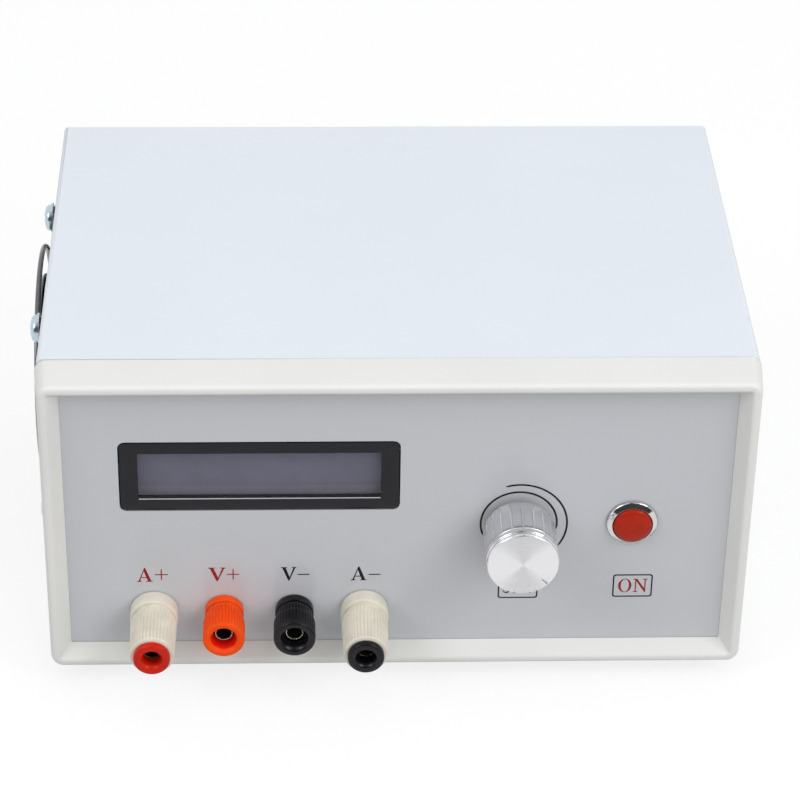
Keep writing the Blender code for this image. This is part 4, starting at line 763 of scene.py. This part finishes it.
class TESTER_OT_panel(bpy.types.Operator):
    """Finish the control panel and print its letters, boxes and arcs"""
    bl_idname = "tester.panel"
    bl_label = "Control Panel"

    def execute(self, context):
        dress("front_panel", glossy_panel(tuple(colours().panel)))
        size = sizes()
        tall, thin = size.letter_height, size.ink_thickness
        red = ink("red_ink", tuple(colours().ink_red))
        black = ink("black_ink", tuple(colours().ink_black))
        plus, minus = LETTERS["+"], LETTERS["-"]
        reds = [(LETTERS["A"], -70.25 * MM, 25.55 * MM, 4.25 * MM, tall),
                (plus, -65.35 * MM, 26.15 * MM, 3.50 * MM, 3.50 * MM),
                (LETTERS["V"], -51.00 * MM, 25.60 * MM, 4.75 * MM, tall * 0.97),
                (plus, -45.90 * MM, 26.10 * MM, 3.25 * MM, 3.50 * MM),
                (ring_letter(), 60.15 * MM, 20.90 * MM, 3.60 * MM, 4.45 * MM),
                (LETTERS["N"], 64.20 * MM, 20.90 * MM, 3.90 * MM, 4.45 * MM)]
        printed("red_letters", reds, thin, red)
        line = 0.40 * MM
        border = [rounded_outline(10.85 * MM, 7.60 * MM, 0.8 * MM),
                  rounded_outline(10.85 * MM - 2 * line, 7.60 * MM - 2 * line, 0.5 * MM) + line]
        blacks = [(LETTERS["V"], -31.40 * MM, 25.60 * MM, 4.20 * MM, tall * 0.97),
                  (minus, -26.90 * MM, 27.50 * MM, 3.20 * MM, 0.32 * MM),
                  (LETTERS["A"], -12.60 * MM, 25.55 * MM, 4.30 * MM, tall),
                  (minus, -7.70 * MM, 27.35 * MM, 3.15 * MM, 0.32 * MM),
                  (double_curve_letter(), 28.45 * MM, 20.85 * MM, 2.50 * MM, 4.30 * MM),
                  (LETTERS["E"], 31.45 * MM, 20.85 * MM, 2.55 * MM, 4.30 * MM),
                  (LETTERS["T"], 34.45 * MM, 20.85 * MM, 2.65 * MM, 4.30 * MM),
                  (border, 58.60 * MM, 19.30 * MM, 1.0, 1.0),
                  (border, 27.40 * MM, 19.15 * MM, 1.0, 1.0),
                  ([arc_outline(10.20 * MM, size.ink_line, -11, 202)], 32.30 * MM, 44.20 * MM, 1.0, 1.0),
                  ([arc_outline(12.80 * MM, size.ink_line, -34, 108)], 32.45 * MM, 43.95 * MM, 1.0, 1.0)]
        printed("black_marks", blacks, thin, black)
        return {"FINISHED"}


class TESTER_OT_display(bpy.types.Operator):
    """Build the display's lens and finish the display behind it"""
    bl_idname = "tester.display"
    bl_label = "Display"

    def execute(self, context):
        width, height, depth = 73.8 * MM, 21.5 * MM, 1.7 * MM
        side, rise, lift = 4.75 * MM, 3.45 * MM, 0.0
        centre = (MIDDLE_X - 36.8 * MM, PANEL_FRONT, UNDERSIDE + 60.0 * MM)
        border = [(side, rise, -depth, 0.25 * MM), (0, 0, -depth, 1.6 * MM), (0, 0, -0.15 * MM, 1.6 * MM),
                  (0.04 * MM, 0.04 * MM, -0.04 * MM, 1.56 * MM), (0.15 * MM, 0.15 * MM, lift, 1.45 * MM),
                  (side - 0.05 * MM, rise - 0.05 * MM, lift, 0.30 * MM), (side, rise, -0.05 * MM, 0.25 * MM)]
        piece("lens_border", [(framed(border, width, height, centre), True, True)],
              lens_print(tuple(colours().lens_border)), "case", "clear_plastic", ("display_lens",), 30.0)
        slack = 0.02 * MM
        pane = [(width / 2, height / 2, -1.2 * MM, 0), (side + slack, rise + slack, -1.2 * MM, 0.23 * MM),
                (side + slack, rise + slack, -0.08 * MM, 0.23 * MM), (width / 2, height / 2, -0.08 * MM, 0)]
        window = framed(pane, width, height, centre, steps=4)
        piece("lens_window", [(window, False, True)], smoked_window(), "case", "clear_plastic", (), 30.0)
        # Painted highlight: a pale strip behind the lens along the window's lower edge stands in for the light that its
        # lower bevel catches.
        edge = Finish("painted_window_highlight")
        streak = edge.noise(500, 2, 0.5, edge.coordinates((0.1, 1, 1)))
        painted_highlight = edge.done(edge.shader(base_color=edge.tint(streak, (0.50, 0.50, 0.54), (0.75, 0.75, 0.78)), roughness=0.3))
        strip = framed([(32.0 * MM, 0.13 * MM, 0, 0), (0, 0, 0, 0.02 * MM), (0, 0, 0.06 * MM, 0.02 * MM),
                        (32.0 * MM, 0.13 * MM, 0.06 * MM, 0)], 64.0 * MM, 0.26 * MM,
                       (centre[0], PANEL_FRONT + 0.06 * MM, centre[2] - height / 2 + rise + 0.16 * MM), steps=3)
        piece("painted_window_highlight_strip", [(strip, False, True)], painted_highlight, "case", "clear_plastic", (), 30.0)
        dress("display_glass", display_cells(tuple(colours().display)))
        dress("display_frame", plated("dark_frame", (0.05, 0.05, 0.055), 0.35))
        dress("display_board", solder_mask("display_board_mask", False))
        return {"FINISHED"}


class TESTER_OT_knob(bpy.types.Operator):
    """Build the fluted knob and finish the encoder behind it"""
    bl_idname = "tester.knob"
    bl_label = "Knob"

    def execute(self, context):
        size = sizes()
        centre = (KNOB_AXIS[0], PANEL_FRONT, KNOB_AXIS[1])
        outer = eased([(0.0, 18.7), (9.25, 18.7), (9.60, 18.25), (9.60, 17.60), (9.05, 17.40), (9.05, 16.90),
                       (9.60, 16.65), (9.60, 15.65), (9.42, 15.40), (9.60, 15.10), (9.60, 6.60), (9.62, 6.30),
                       (9.62, 6.10), (9.62, 3.60), (9.45, 3.40), (8.40, 3.40), (8.40, 16.50), (4.60, 16.50),
                       (4.60, 4.60), (3.15, 4.60), (3.15, 14.70), (0.0, 14.70)],
                      [0, 0.10, 0.18, 0.12, 0.10, 0.10, 0.14, 0.12, 0.10, 0.10, 0.10, 0.10, 0.06, 0.12, 0.1] + [0] * 7,
                      4) * MM
        rows = [outer[:1]]
        for first, second in zip(outer, outer[1:]):
            steps = max(1, int(np.linalg.norm(second - first) / 0.0016))
            rows.append(first + (second - first) * np.linspace(0, 1, steps + 1)[1:, None])
        profile = np.concatenate(rows)
        flutes, depth = size.knob_flutes, size.knob_flute_depth

        def flats(angle, radius, height):
            ridge = np.abs((angle * flutes / (2 * math.pi) + 0.5) % 1 - 0.5)
            flat = np.clip((ridge - 0.04) / 0.09, 0, 1)
            flat = flat * flat * (3 - 2 * flat)
            reach = np.clip((height - 0.0042) / 0.0012, 0, 1) * np.clip((0.01505 - height) / 0.0004, 0, 1)
            return -depth * flat * reach * (radius > 0.0094)

        made = turned(profile, flutes * 18, centre, "front", False, flats)
        metal = spun_metal("spun_knob", tuple(colours().metal), KNOB_AXIS, flutes)
        piece("knob_shell", [made], metal, "knob", "spun_aluminium", ("knob",), 40.0)
        # The pointer line is a real mark, drawn as a thin flat strip on the face; its darker colour is painted shade
        # standing in for the depth of the cut.
        angle = math.radians(-43)
        reach = np.array([6.9, 9.0]) * MM
        along = np.array([math.cos(angle), math.sin(angle)])
        across = np.array([-along[1], along[0]])
        half = np.array([0.14, 0.28]) * MM
        flat = np.array([along * reach[0] - across * half[0], along * reach[1] - across * half[1],
                         along * reach[1] + across * half[1], along * reach[0] + across * half[0]])
        loops = []
        for out in (18.67 * MM, 18.715 * MM):
            loops.append(np.stack([KNOB_AXIS[0] + flat[:, 0], np.full(4, PANEL_FRONT - out), KNOB_AXIS[1] + flat[:, 1]], 1))
        middle = [np.repeat(loop.mean(0)[None], 4, 0) for loop in loops]
        painted_pointer_strip = np.stack([middle[0], loops[0], loops[1], middle[1]])
        piece("knob_pointer", [(painted_pointer_strip, False, True)], plated("pointer_line_painted_shade", (0.40, 0.39, 0.40), 0.35), "knob",
              "spun_aluminium", (), 30.0)
        steel = brushed("turned_steel", (0.55, 0.56, 0.58), (1, 6, 1))
        for node in ("encoder_body", "encoder_plunger", "encoder_shaft"):
            dress(node, steel)
        dress("encoder_nut", plated("nut_plating", (0.70, 0.71, 0.73), 0.22))
        return {"FINISHED"}


class TESTER_OT_push_button(bpy.types.Operator):
    """Build the push button's ring and cap"""
    bl_idname = "tester.push_button"
    bl_label = "Push Button"

    def execute(self, context):
        centre = (BUTTON_AXIS[0], PANEL_FRONT, BUTTON_AXIS[1])
        ring = eased([(6.0, 0.3), (6.9, 0.3), (6.9, 0.65), (6.72, 0.98), (5.45, 1.80), (5.45, -12.7), (0.0, -12.7),
                      (0.0, -14.2), (6.0, -14.2), (6.0, 0.3)], [0, 0.08, 0.12, 0.14, 0.10, 0, 0, 0, 0, 0], 6) * MM
        piece("button_ring", [turned(ring, 96, centre, "front")], plated("bright_chrome", (0.66, 0.65, 0.65), 0.10, 0.03),
              "case", "chrome", ("button_housing",), 40.0)
        rise = np.linspace(0, 1, 14)[:, None]
        dome = np.concatenate([5.2 * rise * 0.93, 3.20 - 0.80 * rise ** 3], 1)
        cap = np.concatenate([dome, [[5.08, 2.18], [5.18, 1.95], [5.20, 1.7], [5.20, -4.3], [0.0, -4.3]]]) * MM
        plastic = Finish("button_plastic")
        colour = tuple(colours().cap)
        haze = plastic.noise(500, 3)
        body = plastic.tint(plastic.step(haze, 0.3, 0.7), scaled(colour, 0.95), scaled(colour, 1.06))
        material = plastic.done(plastic.shader(base_color=body, roughness=0.20 + haze * 0.08, specular_ior_level=0.18,
                                               normal=plastic.bump(plastic.noise(2400, 2), 0.000006, 0.4)))
        piece("button_dome", [turned(cap, 72, centre, "front")], material, "button", "red_plastic", ("button_cap",), 50.0)
        dress("button_nut", plated("back_nut_plating", (0.68, 0.69, 0.70), 0.25))
        return {"FINISHED"}


class TESTER_OT_posts(bpy.types.Operator):
    """Build the four binding posts"""
    bl_idname = "tester.posts"
    bl_label = "Binding Posts"

    def execute(self, context):
        size, tone = sizes(), colours()
        cream = post_plastic("cream_post_plastic", tuple(tone.cream), 0.36)
        # Painted shade for the orange post's mouth: a deeper, darker red.
        mouth_painted_shade = (0.75 * tone.orange[0], 0.10 * tone.orange[1], 0.3 * tone.orange[2])
        orange = post_plastic("orange_post_plastic", tuple(tone.orange), 0.30, gloss=0.10, depth=0.4,
                              mouth=(POSTS["v_plus"], mouth_painted_shade))
        red = post_plastic("red_post_plastic", tuple(tone.red), 0.20, gloss=0.20, depth=0.3)
        black = post_plastic("black_post_plastic", tuple(tone.black), 0.17, 0.4, 0.26)
        brass = bored_brass("plated_brass", (0.62, 0.58, 0.48))
        for tag, ring in (("a_plus", red), ("a_minus", black)):
            self.long_post(tag, cream, ring, size)
        for tag, plastic in (("v_plus", orange), ("v_minus", black)):
            self.short_post(tag, plastic, size)
        for tag in POSTS:
            for kind in ("stud", "bush", "nut"):
                node = "post_%s_%s" % (kind, tag)
                plain_copy(node, "turned_" + node, brass, 32.0)
        return {"FINISHED"}

    def long_post(self, tag, plastic, ring_plastic, size):
        """Collar, tapering ribbed cap and a coloured ring in its end."""
        centre = (POSTS[tag], PANEL_FRONT, POST_HEIGHT)
        collar = eased([(2.8, -3.0), (2.8, 6.1), (5.4, 6.1), (5.4, 4.7), (6.5, 4.7), (6.5, 0.3), (4.0, 0.3), (4.0, -3.0),
                        (2.8, -3.0)], [0, 0, 0.12, 0.1, 0.55, 0.15, 0, 0, 0], 6) * MM
        piece("collar_" + tag, [turned(collar, 64, centre, "front")], plastic, "case", "post_cream_plastic",
              ("post_base_" + tag,), 40.0)
        fine = np.linspace(6.95, 19.4, 9)
        side = np.stack([6.3 - 0.3 * (fine - 6.95) / 12.45, fine], 1)
        cap = np.concatenate([[(4.3, 6.4), (5.75, 6.4), (6.1, 6.48), (6.27, 6.72)], side, [(5.97, 19.65), (5.86, 19.9),
                              (5.6, 20.0), (3.9, 20.0), (3.9, 17.7), (2.8, 17.7), (2.8, 14.7), (4.3, 14.7), (4.3, 6.4)]]) * MM
        swell = ribs(size.cap_ribs, size.cap_rib_depth, 6.75 * MM, 19.75 * MM, 5.7 * MM)
        piece("grip_" + tag, [turned(cap, size.cap_ribs * 6, centre, "front", False, swell)], plastic, BODY_OF["post_cap_" + tag],
              "post_cream_plastic", ("post_cap_" + tag,), 50.0)
        ring = eased([(2.3, 18.0), (3.6, 18.0), (3.6, 20.3), (4.95, 20.3), (4.95, 22.1), (3.05, 22.1), (2.3, 21.0), (2.3, 18.0)],
                     [0, 0, 0, 0.15, 0.85, 0.45, 0.5, 0], 7) * MM
        piece("end_ring_" + tag, [turned(ring, 64, centre, "front")], ring_plastic, BODY_OF["post_ring_" + tag],
              "red_plastic" if tag == "a_plus" else "black_plastic", ("post_ring_" + tag,), 45.0)

    def short_post(self, tag, plastic, size):
        """Thin collar and a waisted ribbed cap that flares to its open mouth."""
        centre = (POSTS[tag], PANEL_FRONT, POST_HEIGHT)
        slot = "orange_plastic" if tag == "v_plus" else "black_plastic"
        collar = eased([(2.8, -3.0), (2.8, 2.4), (4.65, 2.4), (4.65, 2.7), (5.25, 2.7), (5.25, 0.3), (4.0, 0.3), (4.0, -3.0),
                        (2.8, -3.0)], [0, 0, 0, 0, 0.35, 0.12, 0, 0, 0], 5) * MM
        piece("collar_" + tag, [turned(collar, 64, centre, "front")], plastic, "case", slot, ("post_base_" + tag,), 40.0)
        flare = np.linspace(0, 1, 6)[:, None]
        flare = np.concatenate([5.0 + 0.65 * flare * flare * (3 - 2 * flare), 5.0 + 1.7 * flare], 1)
        cap = np.concatenate([[(4.3, 3.0), (4.7, 3.0), (4.95, 3.12), (5.0, 3.4), (5.0, 4.2)], flare,
                              [(5.65, 8.2), (5.65, 10.5), (5.65, 12.8), (5.60, 13.2), (5.40, 13.5), (5.05, 13.6), (4.30, 13.6),
                               (3.95, 13.45), (3.45, 12.8), (3.1, 12.2), (3.0, 11.8), (3.0, 9.6), (2.8, 9.6), (2.8, 7.3),
                               (4.3, 7.3), (4.3, 3.0)]]) * MM
        swell = ribs(size.cap_ribs, size.cap_rib_depth, 3.3 * MM, 13.05 * MM, 4.85 * MM)
        piece("grip_" + tag, [turned(cap, size.cap_ribs * 6, centre, "front", False, swell)], plastic, BODY_OF["post_cap_" + tag],
              slot, ("post_cap_" + tag,), 50.0)


class TESTER_OT_fan(bpy.types.Operator):
    """Build the fan's rotor, its wire guard and the screws that hold them"""
    bl_idname = "tester.fan"
    bl_label = "Fan"

    def execute(self, context):
        size, tone = sizes(), colours()
        black = post_plastic("fan_plastic", tuple(tone.black), 0.42)
        plain_copy("fan_frame", "fan_housing", black, 30.0)
        self.rotor(black)
        self.guard(size.guard_wire)
        zinc = blue_zinc(tuple(tone.zinc))
        for index, (up, back) in enumerate(((30, -30), (30, 30), (-30, -30), (-30, 30))):
            centre = (LEFT_WALL, FAN_AXIS[0] + back * MM, FAN_AXIS[1] + up * MM)
            name = "fan_screw_%d" % (index + 1)
            piece("pan_head_%d" % (index + 1), [pan_screw(centre, "left", 3.8, 2.0, 1.95, 2.09, 12.0, (4.3, 0.6), index * 0.7)],
                  zinc, "case", "blue_zinc", (name,), 32.0)
        return {"FINISHED"}

    def rotor(self, plastic):
        """Hub turned from a profile; each blade is a curved plate over radius and chord.

        The angle grows along the chord and leans with the radius, and the height rises from the low edge to the high
        edge with a sag of the parabola c (1 - c) between them.
        """
        centre = (LEFT_WALL + 1.0 * MM, FAN_AXIS[0], FAN_AXIS[1])
        hub = eased([(0.0, -1.1), (14.0, -1.1), (15.0, -2.1), (15.0, -11.7), (13.8, -11.7), (13.8, -2.3), (4.0, -2.3),
                     (4.0, -11.3), (1.7, -11.3), (1.7, -3.3), (0.0, -3.3)], [0, 0.6, 0.6] + [0] * 8, 5) * MM
        sheets = [turned(hub, 96, centre, "left")]
        outward = np.linspace(0, 1, 12)[:, None]
        chord = np.linspace(0, 1, 10)[None, :]
        radius = (14.0 + 17.8 * outward) * MM
        low, high = -9.7 * MM, -1.9 * MM
        angle = np.radians(30 * outward) + np.radians(34 - 12 * outward) * chord
        height = low + (high - low) * chord - 2.4 * MM * chord * (1 - chord)
        thick = 0.9 * MM * (0.45 + 2.2 * chord * (1 - chord))
        side, up, out = (np.array(direction, float) for direction in FACING["left"])
        for index in range(7):
            turn = angle + 2 * math.pi * index / 7
            top = np.stack([radius * np.cos(turn), radius * np.sin(turn), height + 0 * turn], -1)
            under = np.stack([radius * np.cos(turn), radius * np.sin(turn), height - thick + 0 * turn], -1)
            loop = np.concatenate([top, under[:, ::-1]], 1)
            middle = (top + under) / 2
            closing = np.concatenate([middle, middle[:, ::-1]], 1)
            grid = np.concatenate([closing[:1], loop, closing[-1:]])
            points = np.array(centre) + grid[..., :1] * side + grid[..., 1:2] * up + grid[..., 2:] * out
            sheets.append((points, False, True))
        piece("rotor_moulding", sheets, plastic, "fan_rotor", "black_plastic", ("fan_rotor",), 35.0)

    def guard(self, radius):
        """Wire rings over four bent spokes that end in screw loops, all round wire carried along its path."""
        def ring(centre, reach, out, count):
            angle = np.linspace(0, 2 * math.pi, count, endpoint=False)
            path = np.stack([np.full(count, LEFT_WALL - out), centre[0] + reach * np.cos(angle), centre[1] + reach * np.sin(angle)], 1)
            return wire(path, radius, 12, True)

        sheets = [ring(FAN_AXIS, reach * MM, 3.6 * MM, count) for reach, count in ((33.0, 144), (24.5, 112), (16.0, 80))]
        for turn in (45, 135, 225, 315):
            angle = math.radians(turn)
            stations = eased([(14.2, 2.25), (33.75, 2.25), (35.6, 1.05), (39.6, 1.05)], 0.8, 5) * MM
            path = np.stack([np.full(len(stations), LEFT_WALL) - stations[:, 1],
                             FAN_AXIS[0] + stations[:, 0] * math.cos(angle), FAN_AXIS[1] + stations[:, 0] * math.sin(angle)], 1)
            sheets.append(wire(path, radius, 12))
            corner = (FAN_AXIS[0] + 42.43 * MM * math.cos(angle), FAN_AXIS[1] + 42.43 * MM * math.sin(angle))
            sheets.append(ring(corner, 3.05 * MM, 1.05 * MM, 32))
        # Painted reflection: the chrome is painted dark, standing in for the dark surroundings that the wire reflects.
        piece("guard_wires", sheets, plated("guard_chrome_painted_dark_reflection", (0.17, 0.17, 0.18), 0.12, 0.06), "case", "chrome",
              ("fan_guard",), 40.0)


def pan_screw(centre, facing, head, shank, seat, height, length, washer=None, turn=0.0):
    """A pan-head screw, millimetres: a turned profile whose top sinks in a cross-shaped recess.

    The recess is a smooth cross mask in the two directions across the head, times its depth.
    """
    under = seat + (washer[1] if washer else 0.0)
    top = under + height
    rise = np.linspace(0, 1, 30)[:, None]
    crown = np.concatenate([head * 0.86 * rise, top - 0.30 * height * rise ** 2.2], 1)
    rim = eased([(head * 0.86, top - 0.30 * height), (head, top - 0.62 * height), (head, under)], 0.5, 5)
    foot = [(washer[0], under), (washer[0], under - 0.15), (washer[0], seat + 0.12), (washer[0] - 0.12, seat)] if washer else []
    stem = [(shank, seat), (shank, seat - length + 0.8), (shank * 0.6, seat - length), (0.0, seat - length)]
    profile = np.concatenate([crown, rim[1:]] + ([foot] if foot else []) + [stem]) * MM
    points, wrap, around = turned(profile, 96, centre, facing)
    side, up, out = (np.array(direction, float) for direction in FACING[facing])
    offset = points - np.array(centre)
    x, y = offset @ side, offset @ up
    u, v = x * math.cos(turn) + y * math.sin(turn), -x * math.sin(turn) + y * math.cos(turn)
    wide, reach, soft = 0.13 * head * MM, 0.56 * head * MM, 0.10 * MM

    def within(value, limit):
        return np.clip((limit + soft - np.abs(value)) / soft, 0, 1)

    cross = np.maximum(within(u, wide) * within(v, reach), within(v, wide) * within(u, reach))
    cross[len(crown):] = 0
    depth = 0.55 * height * MM * (1 - 0.5 * np.sqrt(u * u + v * v) / reach)
    return points - (cross * depth)[..., None] * out, wrap, around


class TESTER_OT_case_hardware(bpy.types.Operator):
    """Build the cover screws and finish the feet and the power inlet"""
    bl_idname = "tester.case_hardware"
    bl_label = "Case Hardware"

    def execute(self, context):
        zinc = blue_zinc(tuple(colours().zinc))
        count = 0
        for wall, facing in ((LEFT_WALL, "left"), (RIGHT_WALL, "right")):
            for y in COVER_SCREWS:
                count += 1
                piece("cover_pan_head_%d" % count, [pan_screw((wall, y, 0.012), facing, 2.8, 1.5, 0.3, 1.7, 6.0, None, count * 0.9)],
                      zinc, "case", "blue_zinc", ("cover_screw_%d" % count,), 32.0)
        rubber = soft_rubber()
        for index in range(1, 5):
            plain_copy("foot_%d" % index, "rubber_foot_%d" % index, rubber, 40.0)
        plain_copy("power_jack", "power_inlet", post_plastic("inlet_plastic", tuple(colours().black), 0.38), 32.0)
        return {"FINISHED"}


class TESTER_OT_inside(bpy.types.Operator):
    """Finish the pieces inside the case"""
    bl_idname = "tester.inside"
    bl_label = "Inside"

    def execute(self, context):
        dress("main_board", solder_mask("main_board_mask", True))
        dress("heatsink", brushed("extruded_aluminium", (0.58, 0.59, 0.61), (4, 4, 0.15)))
        case = post_plastic("transistor_case", (0.02, 0.02, 0.022), 0.50, 0.3)
        for node in ("power_transistor_1", "power_transistor_2"):
            dress(node, case)
        plain_copy("lead_positive", "positive_lead", post_plastic("red_lead_sleeve", tuple(colours().red), 0.40))
        plain_copy("lead_negative", "negative_lead", post_plastic("black_lead_sleeve", tuple(colours().black), 0.42))
        return {"FINISHED"}


def stage_sheet(name, corners, material):
    """A flat four-cornered sheet that belongs to the stage."""
    mesh = bpy.data.meshes.new(name)
    mesh.from_pydata(corners, [], [(0, 1, 2, 3)])
    mesh.materials.append(material)
    made = bpy.data.objects.new(name, mesh)
    bpy.context.scene.collection.objects.link(made)
    return made


class TESTER_OT_stage(bpy.types.Operator):
    """Set the pale floor, the lamps, the world and the camera"""
    bl_idname = "tester.stage"
    bl_label = "Stage"

    def execute(self, context):
        scene = context.scene
        scene.view_settings.view_transform = "Standard"
        self.floor()
        self.world(scene)
        self.dark_cards()
        self.lamp("left_softbox", (-1.11, -0.72, 1.12), 0.85, 5.5)
        self.lamp("right_softbox", (1.11, -0.72, 1.12), 0.85, 6.8)
        self.lamp("overhead_softbox", (0.0, -0.12, 1.70), 1.2, 4.0).visible_glossy = False
        self.lamp("front_fill", (0.80, -1.65, 0.70), 1.2, 6.6).visible_glossy = False
        self.camera(scene)
        return {"FINISHED"}

    def dark_cards(self):
        """Dull dark cards behind and above the camera, which only gloss meets."""
        card = Finish("dark_card")
        tone = card.tint(card.noise(60, 2), (0.080, 0.078, 0.080), (0.095, 0.092, 0.094))
        dark = card.node("BsdfDiffuse", sockets={"Color": tone})
        clear = card.node("BsdfTransparent")
        outputs = card.node("LightPath").socket.node.outputs
        passing = 1 - Wire(card, outputs["Is Glossy Ray"])
        material = card.done(card.node("MixShader", sockets={0: passing, 1: dark, 2: clear}))
        stage_sheet("wide_card", [(-2.4, -1.35, 0.05), (2.4, -1.35, 0.05), (0.35, -1.35, 1.70), (-0.35, -1.35, 1.70)], material)
        stage_sheet("high_card", [(-0.30, -1.35, 1.71), (0.30, -1.35, 1.71), (0.25, -0.45, 2.10), (-0.25, -0.45, 2.10)], material)

    def floor(self):
        """The floor scatters plain light, and to the camera and in gloss it is a white sheet with a soft shadow."""
        paper = Finish("paper_floor")
        fibre = paper.noise(700, 3)
        body = paper.tint(fibre, (0.40, 0.40, 0.40), (0.44, 0.44, 0.44))
        plain = paper.node("BsdfDiffuse", sockets={"Color": body})
        faint = paper.node("BsdfDiffuse", sockets={"Color": (0.22, 0.22, 0.22, 1.0)})
        white = paper.node("Emission", sockets={"Color": (1.0, 1.0, 1.0, 1.0), "Strength": 0.79})
        seen = paper.node("AddShader", sockets={0: faint, 1: white})
        ray = paper.node("LightPath")
        outputs = ray.socket.node.outputs
        shown = Wire(paper, outputs["Is Camera Ray"]).math("MAXIMUM", Wire(paper, outputs["Is Glossy Ray"]))
        shown = shown.math("MAXIMUM", Wire(paper, outputs["Is Transmission Ray"]))
        material = paper.done(paper.node("MixShader", sockets={0: shown, 1: plain, 2: seen}))
        stage_sheet("floor", [(-4, -4, 0), (4, -4, 0), (4, 4, 0), (-4, 4, 0)], material)

    def world(self, scene):
        world = bpy.data.worlds.new("studio")
        scene.world = world
        world.use_nodes = True
        nodes, links = world.node_tree.nodes, world.node_tree.links
        nodes.clear()
        soft = nodes.new("ShaderNodeBackground")
        soft.inputs["Color"].default_value = (0.97, 0.985, 1.0, 1.0)
        soft.inputs["Strength"].default_value = 0.58
        white = nodes.new("ShaderNodeBackground")
        white.inputs["Color"].default_value = (1.0, 1.0, 1.0, 1.0)
        path = nodes.new("ShaderNodeLightPath")
        first, second = nodes.new("ShaderNodeMath"), nodes.new("ShaderNodeMath")
        first.operation = second.operation = "MAXIMUM"
        mix, output = nodes.new("ShaderNodeMixShader"), nodes.new("ShaderNodeOutputWorld")
        links.new(path.outputs["Is Camera Ray"], first.inputs[0])
        links.new(path.outputs["Is Glossy Ray"], first.inputs[1])
        links.new(first.outputs[0], second.inputs[0])
        links.new(path.outputs["Is Transmission Ray"], second.inputs[1])
        links.new(second.outputs[0], mix.inputs[0])
        links.new(soft.outputs[0], mix.inputs[1])
        links.new(white.outputs[0], mix.inputs[2])
        links.new(mix.outputs[0], output.inputs["Surface"])

    def lamp(self, name, place, size, power):
        """A round soft lamp turned towards the case."""
        lamp = bpy.data.lights.new(name, "AREA")
        lamp.shape = "DISK"
        lamp.size = size
        lamp.energy = power
        made = bpy.data.objects.new(name, lamp)
        made.location = place
        made.rotation_euler = (Vector((0.0, 0.0, 0.03)) - Vector(place)).to_track_quat("-Z", "Y").to_euler()
        bpy.context.scene.collection.objects.link(made)
        return made

    def camera(self, scene):
        camera = bpy.data.cameras.new("photo_camera")
        camera.sensor_width = 36.0
        camera.lens = 137.65
        camera.clip_start = 0.01
        made = bpy.data.objects.new("photo_camera", camera)
        right = (0.9993939, -0.0314926, 0.0148327)
        up = (0.0050584, 0.5529505, 0.8331987)
        behind = (-0.0344414, -0.8326187, 0.5527747)
        place = (-0.0261464, -0.7201234, 0.5286841)
        made.matrix_world = Matrix([[right[i], up[i], behind[i], place[i]] for i in range(3)] + [[0, 0, 0, 1]])
        scene.collection.objects.link(made)
        scene.camera = made


OPERATORS = (TESTER_OT_bezel, TESTER_OT_sheet_case, TESTER_OT_panel, TESTER_OT_display, TESTER_OT_knob,
             TESTER_OT_push_button, TESTER_OT_posts, TESTER_OT_fan, TESTER_OT_case_hardware, TESTER_OT_inside,
             TESTER_OT_stage)


class TESTER_PT_builder(bpy.types.Panel):
    """Lists the operators and what they read"""
    bl_idname = "TESTER_PT_builder"
    bl_label = "Battery Tester"
    bl_space_type = "VIEW_3D"
    bl_region_type = "UI"
    bl_category = "Tester"

    def draw(self, context):
        for operator in OPERATORS:
            self.layout.operator(operator.bl_idname)
        for group in (context.scene.tester_sizes, context.scene.tester_colours):
            column = self.layout.column()
            for name in group.bl_rna.properties.keys():
                if name not in ("rna_type", "name"):
                    column.prop(group, name)


CLASSES = (TesterSizes, TesterColours) + OPERATORS + (TESTER_PT_builder,)


def register():
    for cls in CLASSES:
        bpy.utils.register_class(cls)
    bpy.types.Scene.tester_sizes = bpy.props.PointerProperty(type=TesterSizes)
    bpy.types.Scene.tester_colours = bpy.props.PointerProperty(type=TesterColours)


def unregister():
    del bpy.types.Scene.tester_colours
    del bpy.types.Scene.tester_sizes
    for cls in reversed(CLASSES):
        bpy.utils.unregister_class(cls)


def main():
    register()
    for operator in OPERATORS:
        group, name = operator.bl_idname.split(".")
        getattr(getattr(bpy.ops, group), name)()


if __name__ == "__main__":
    main()
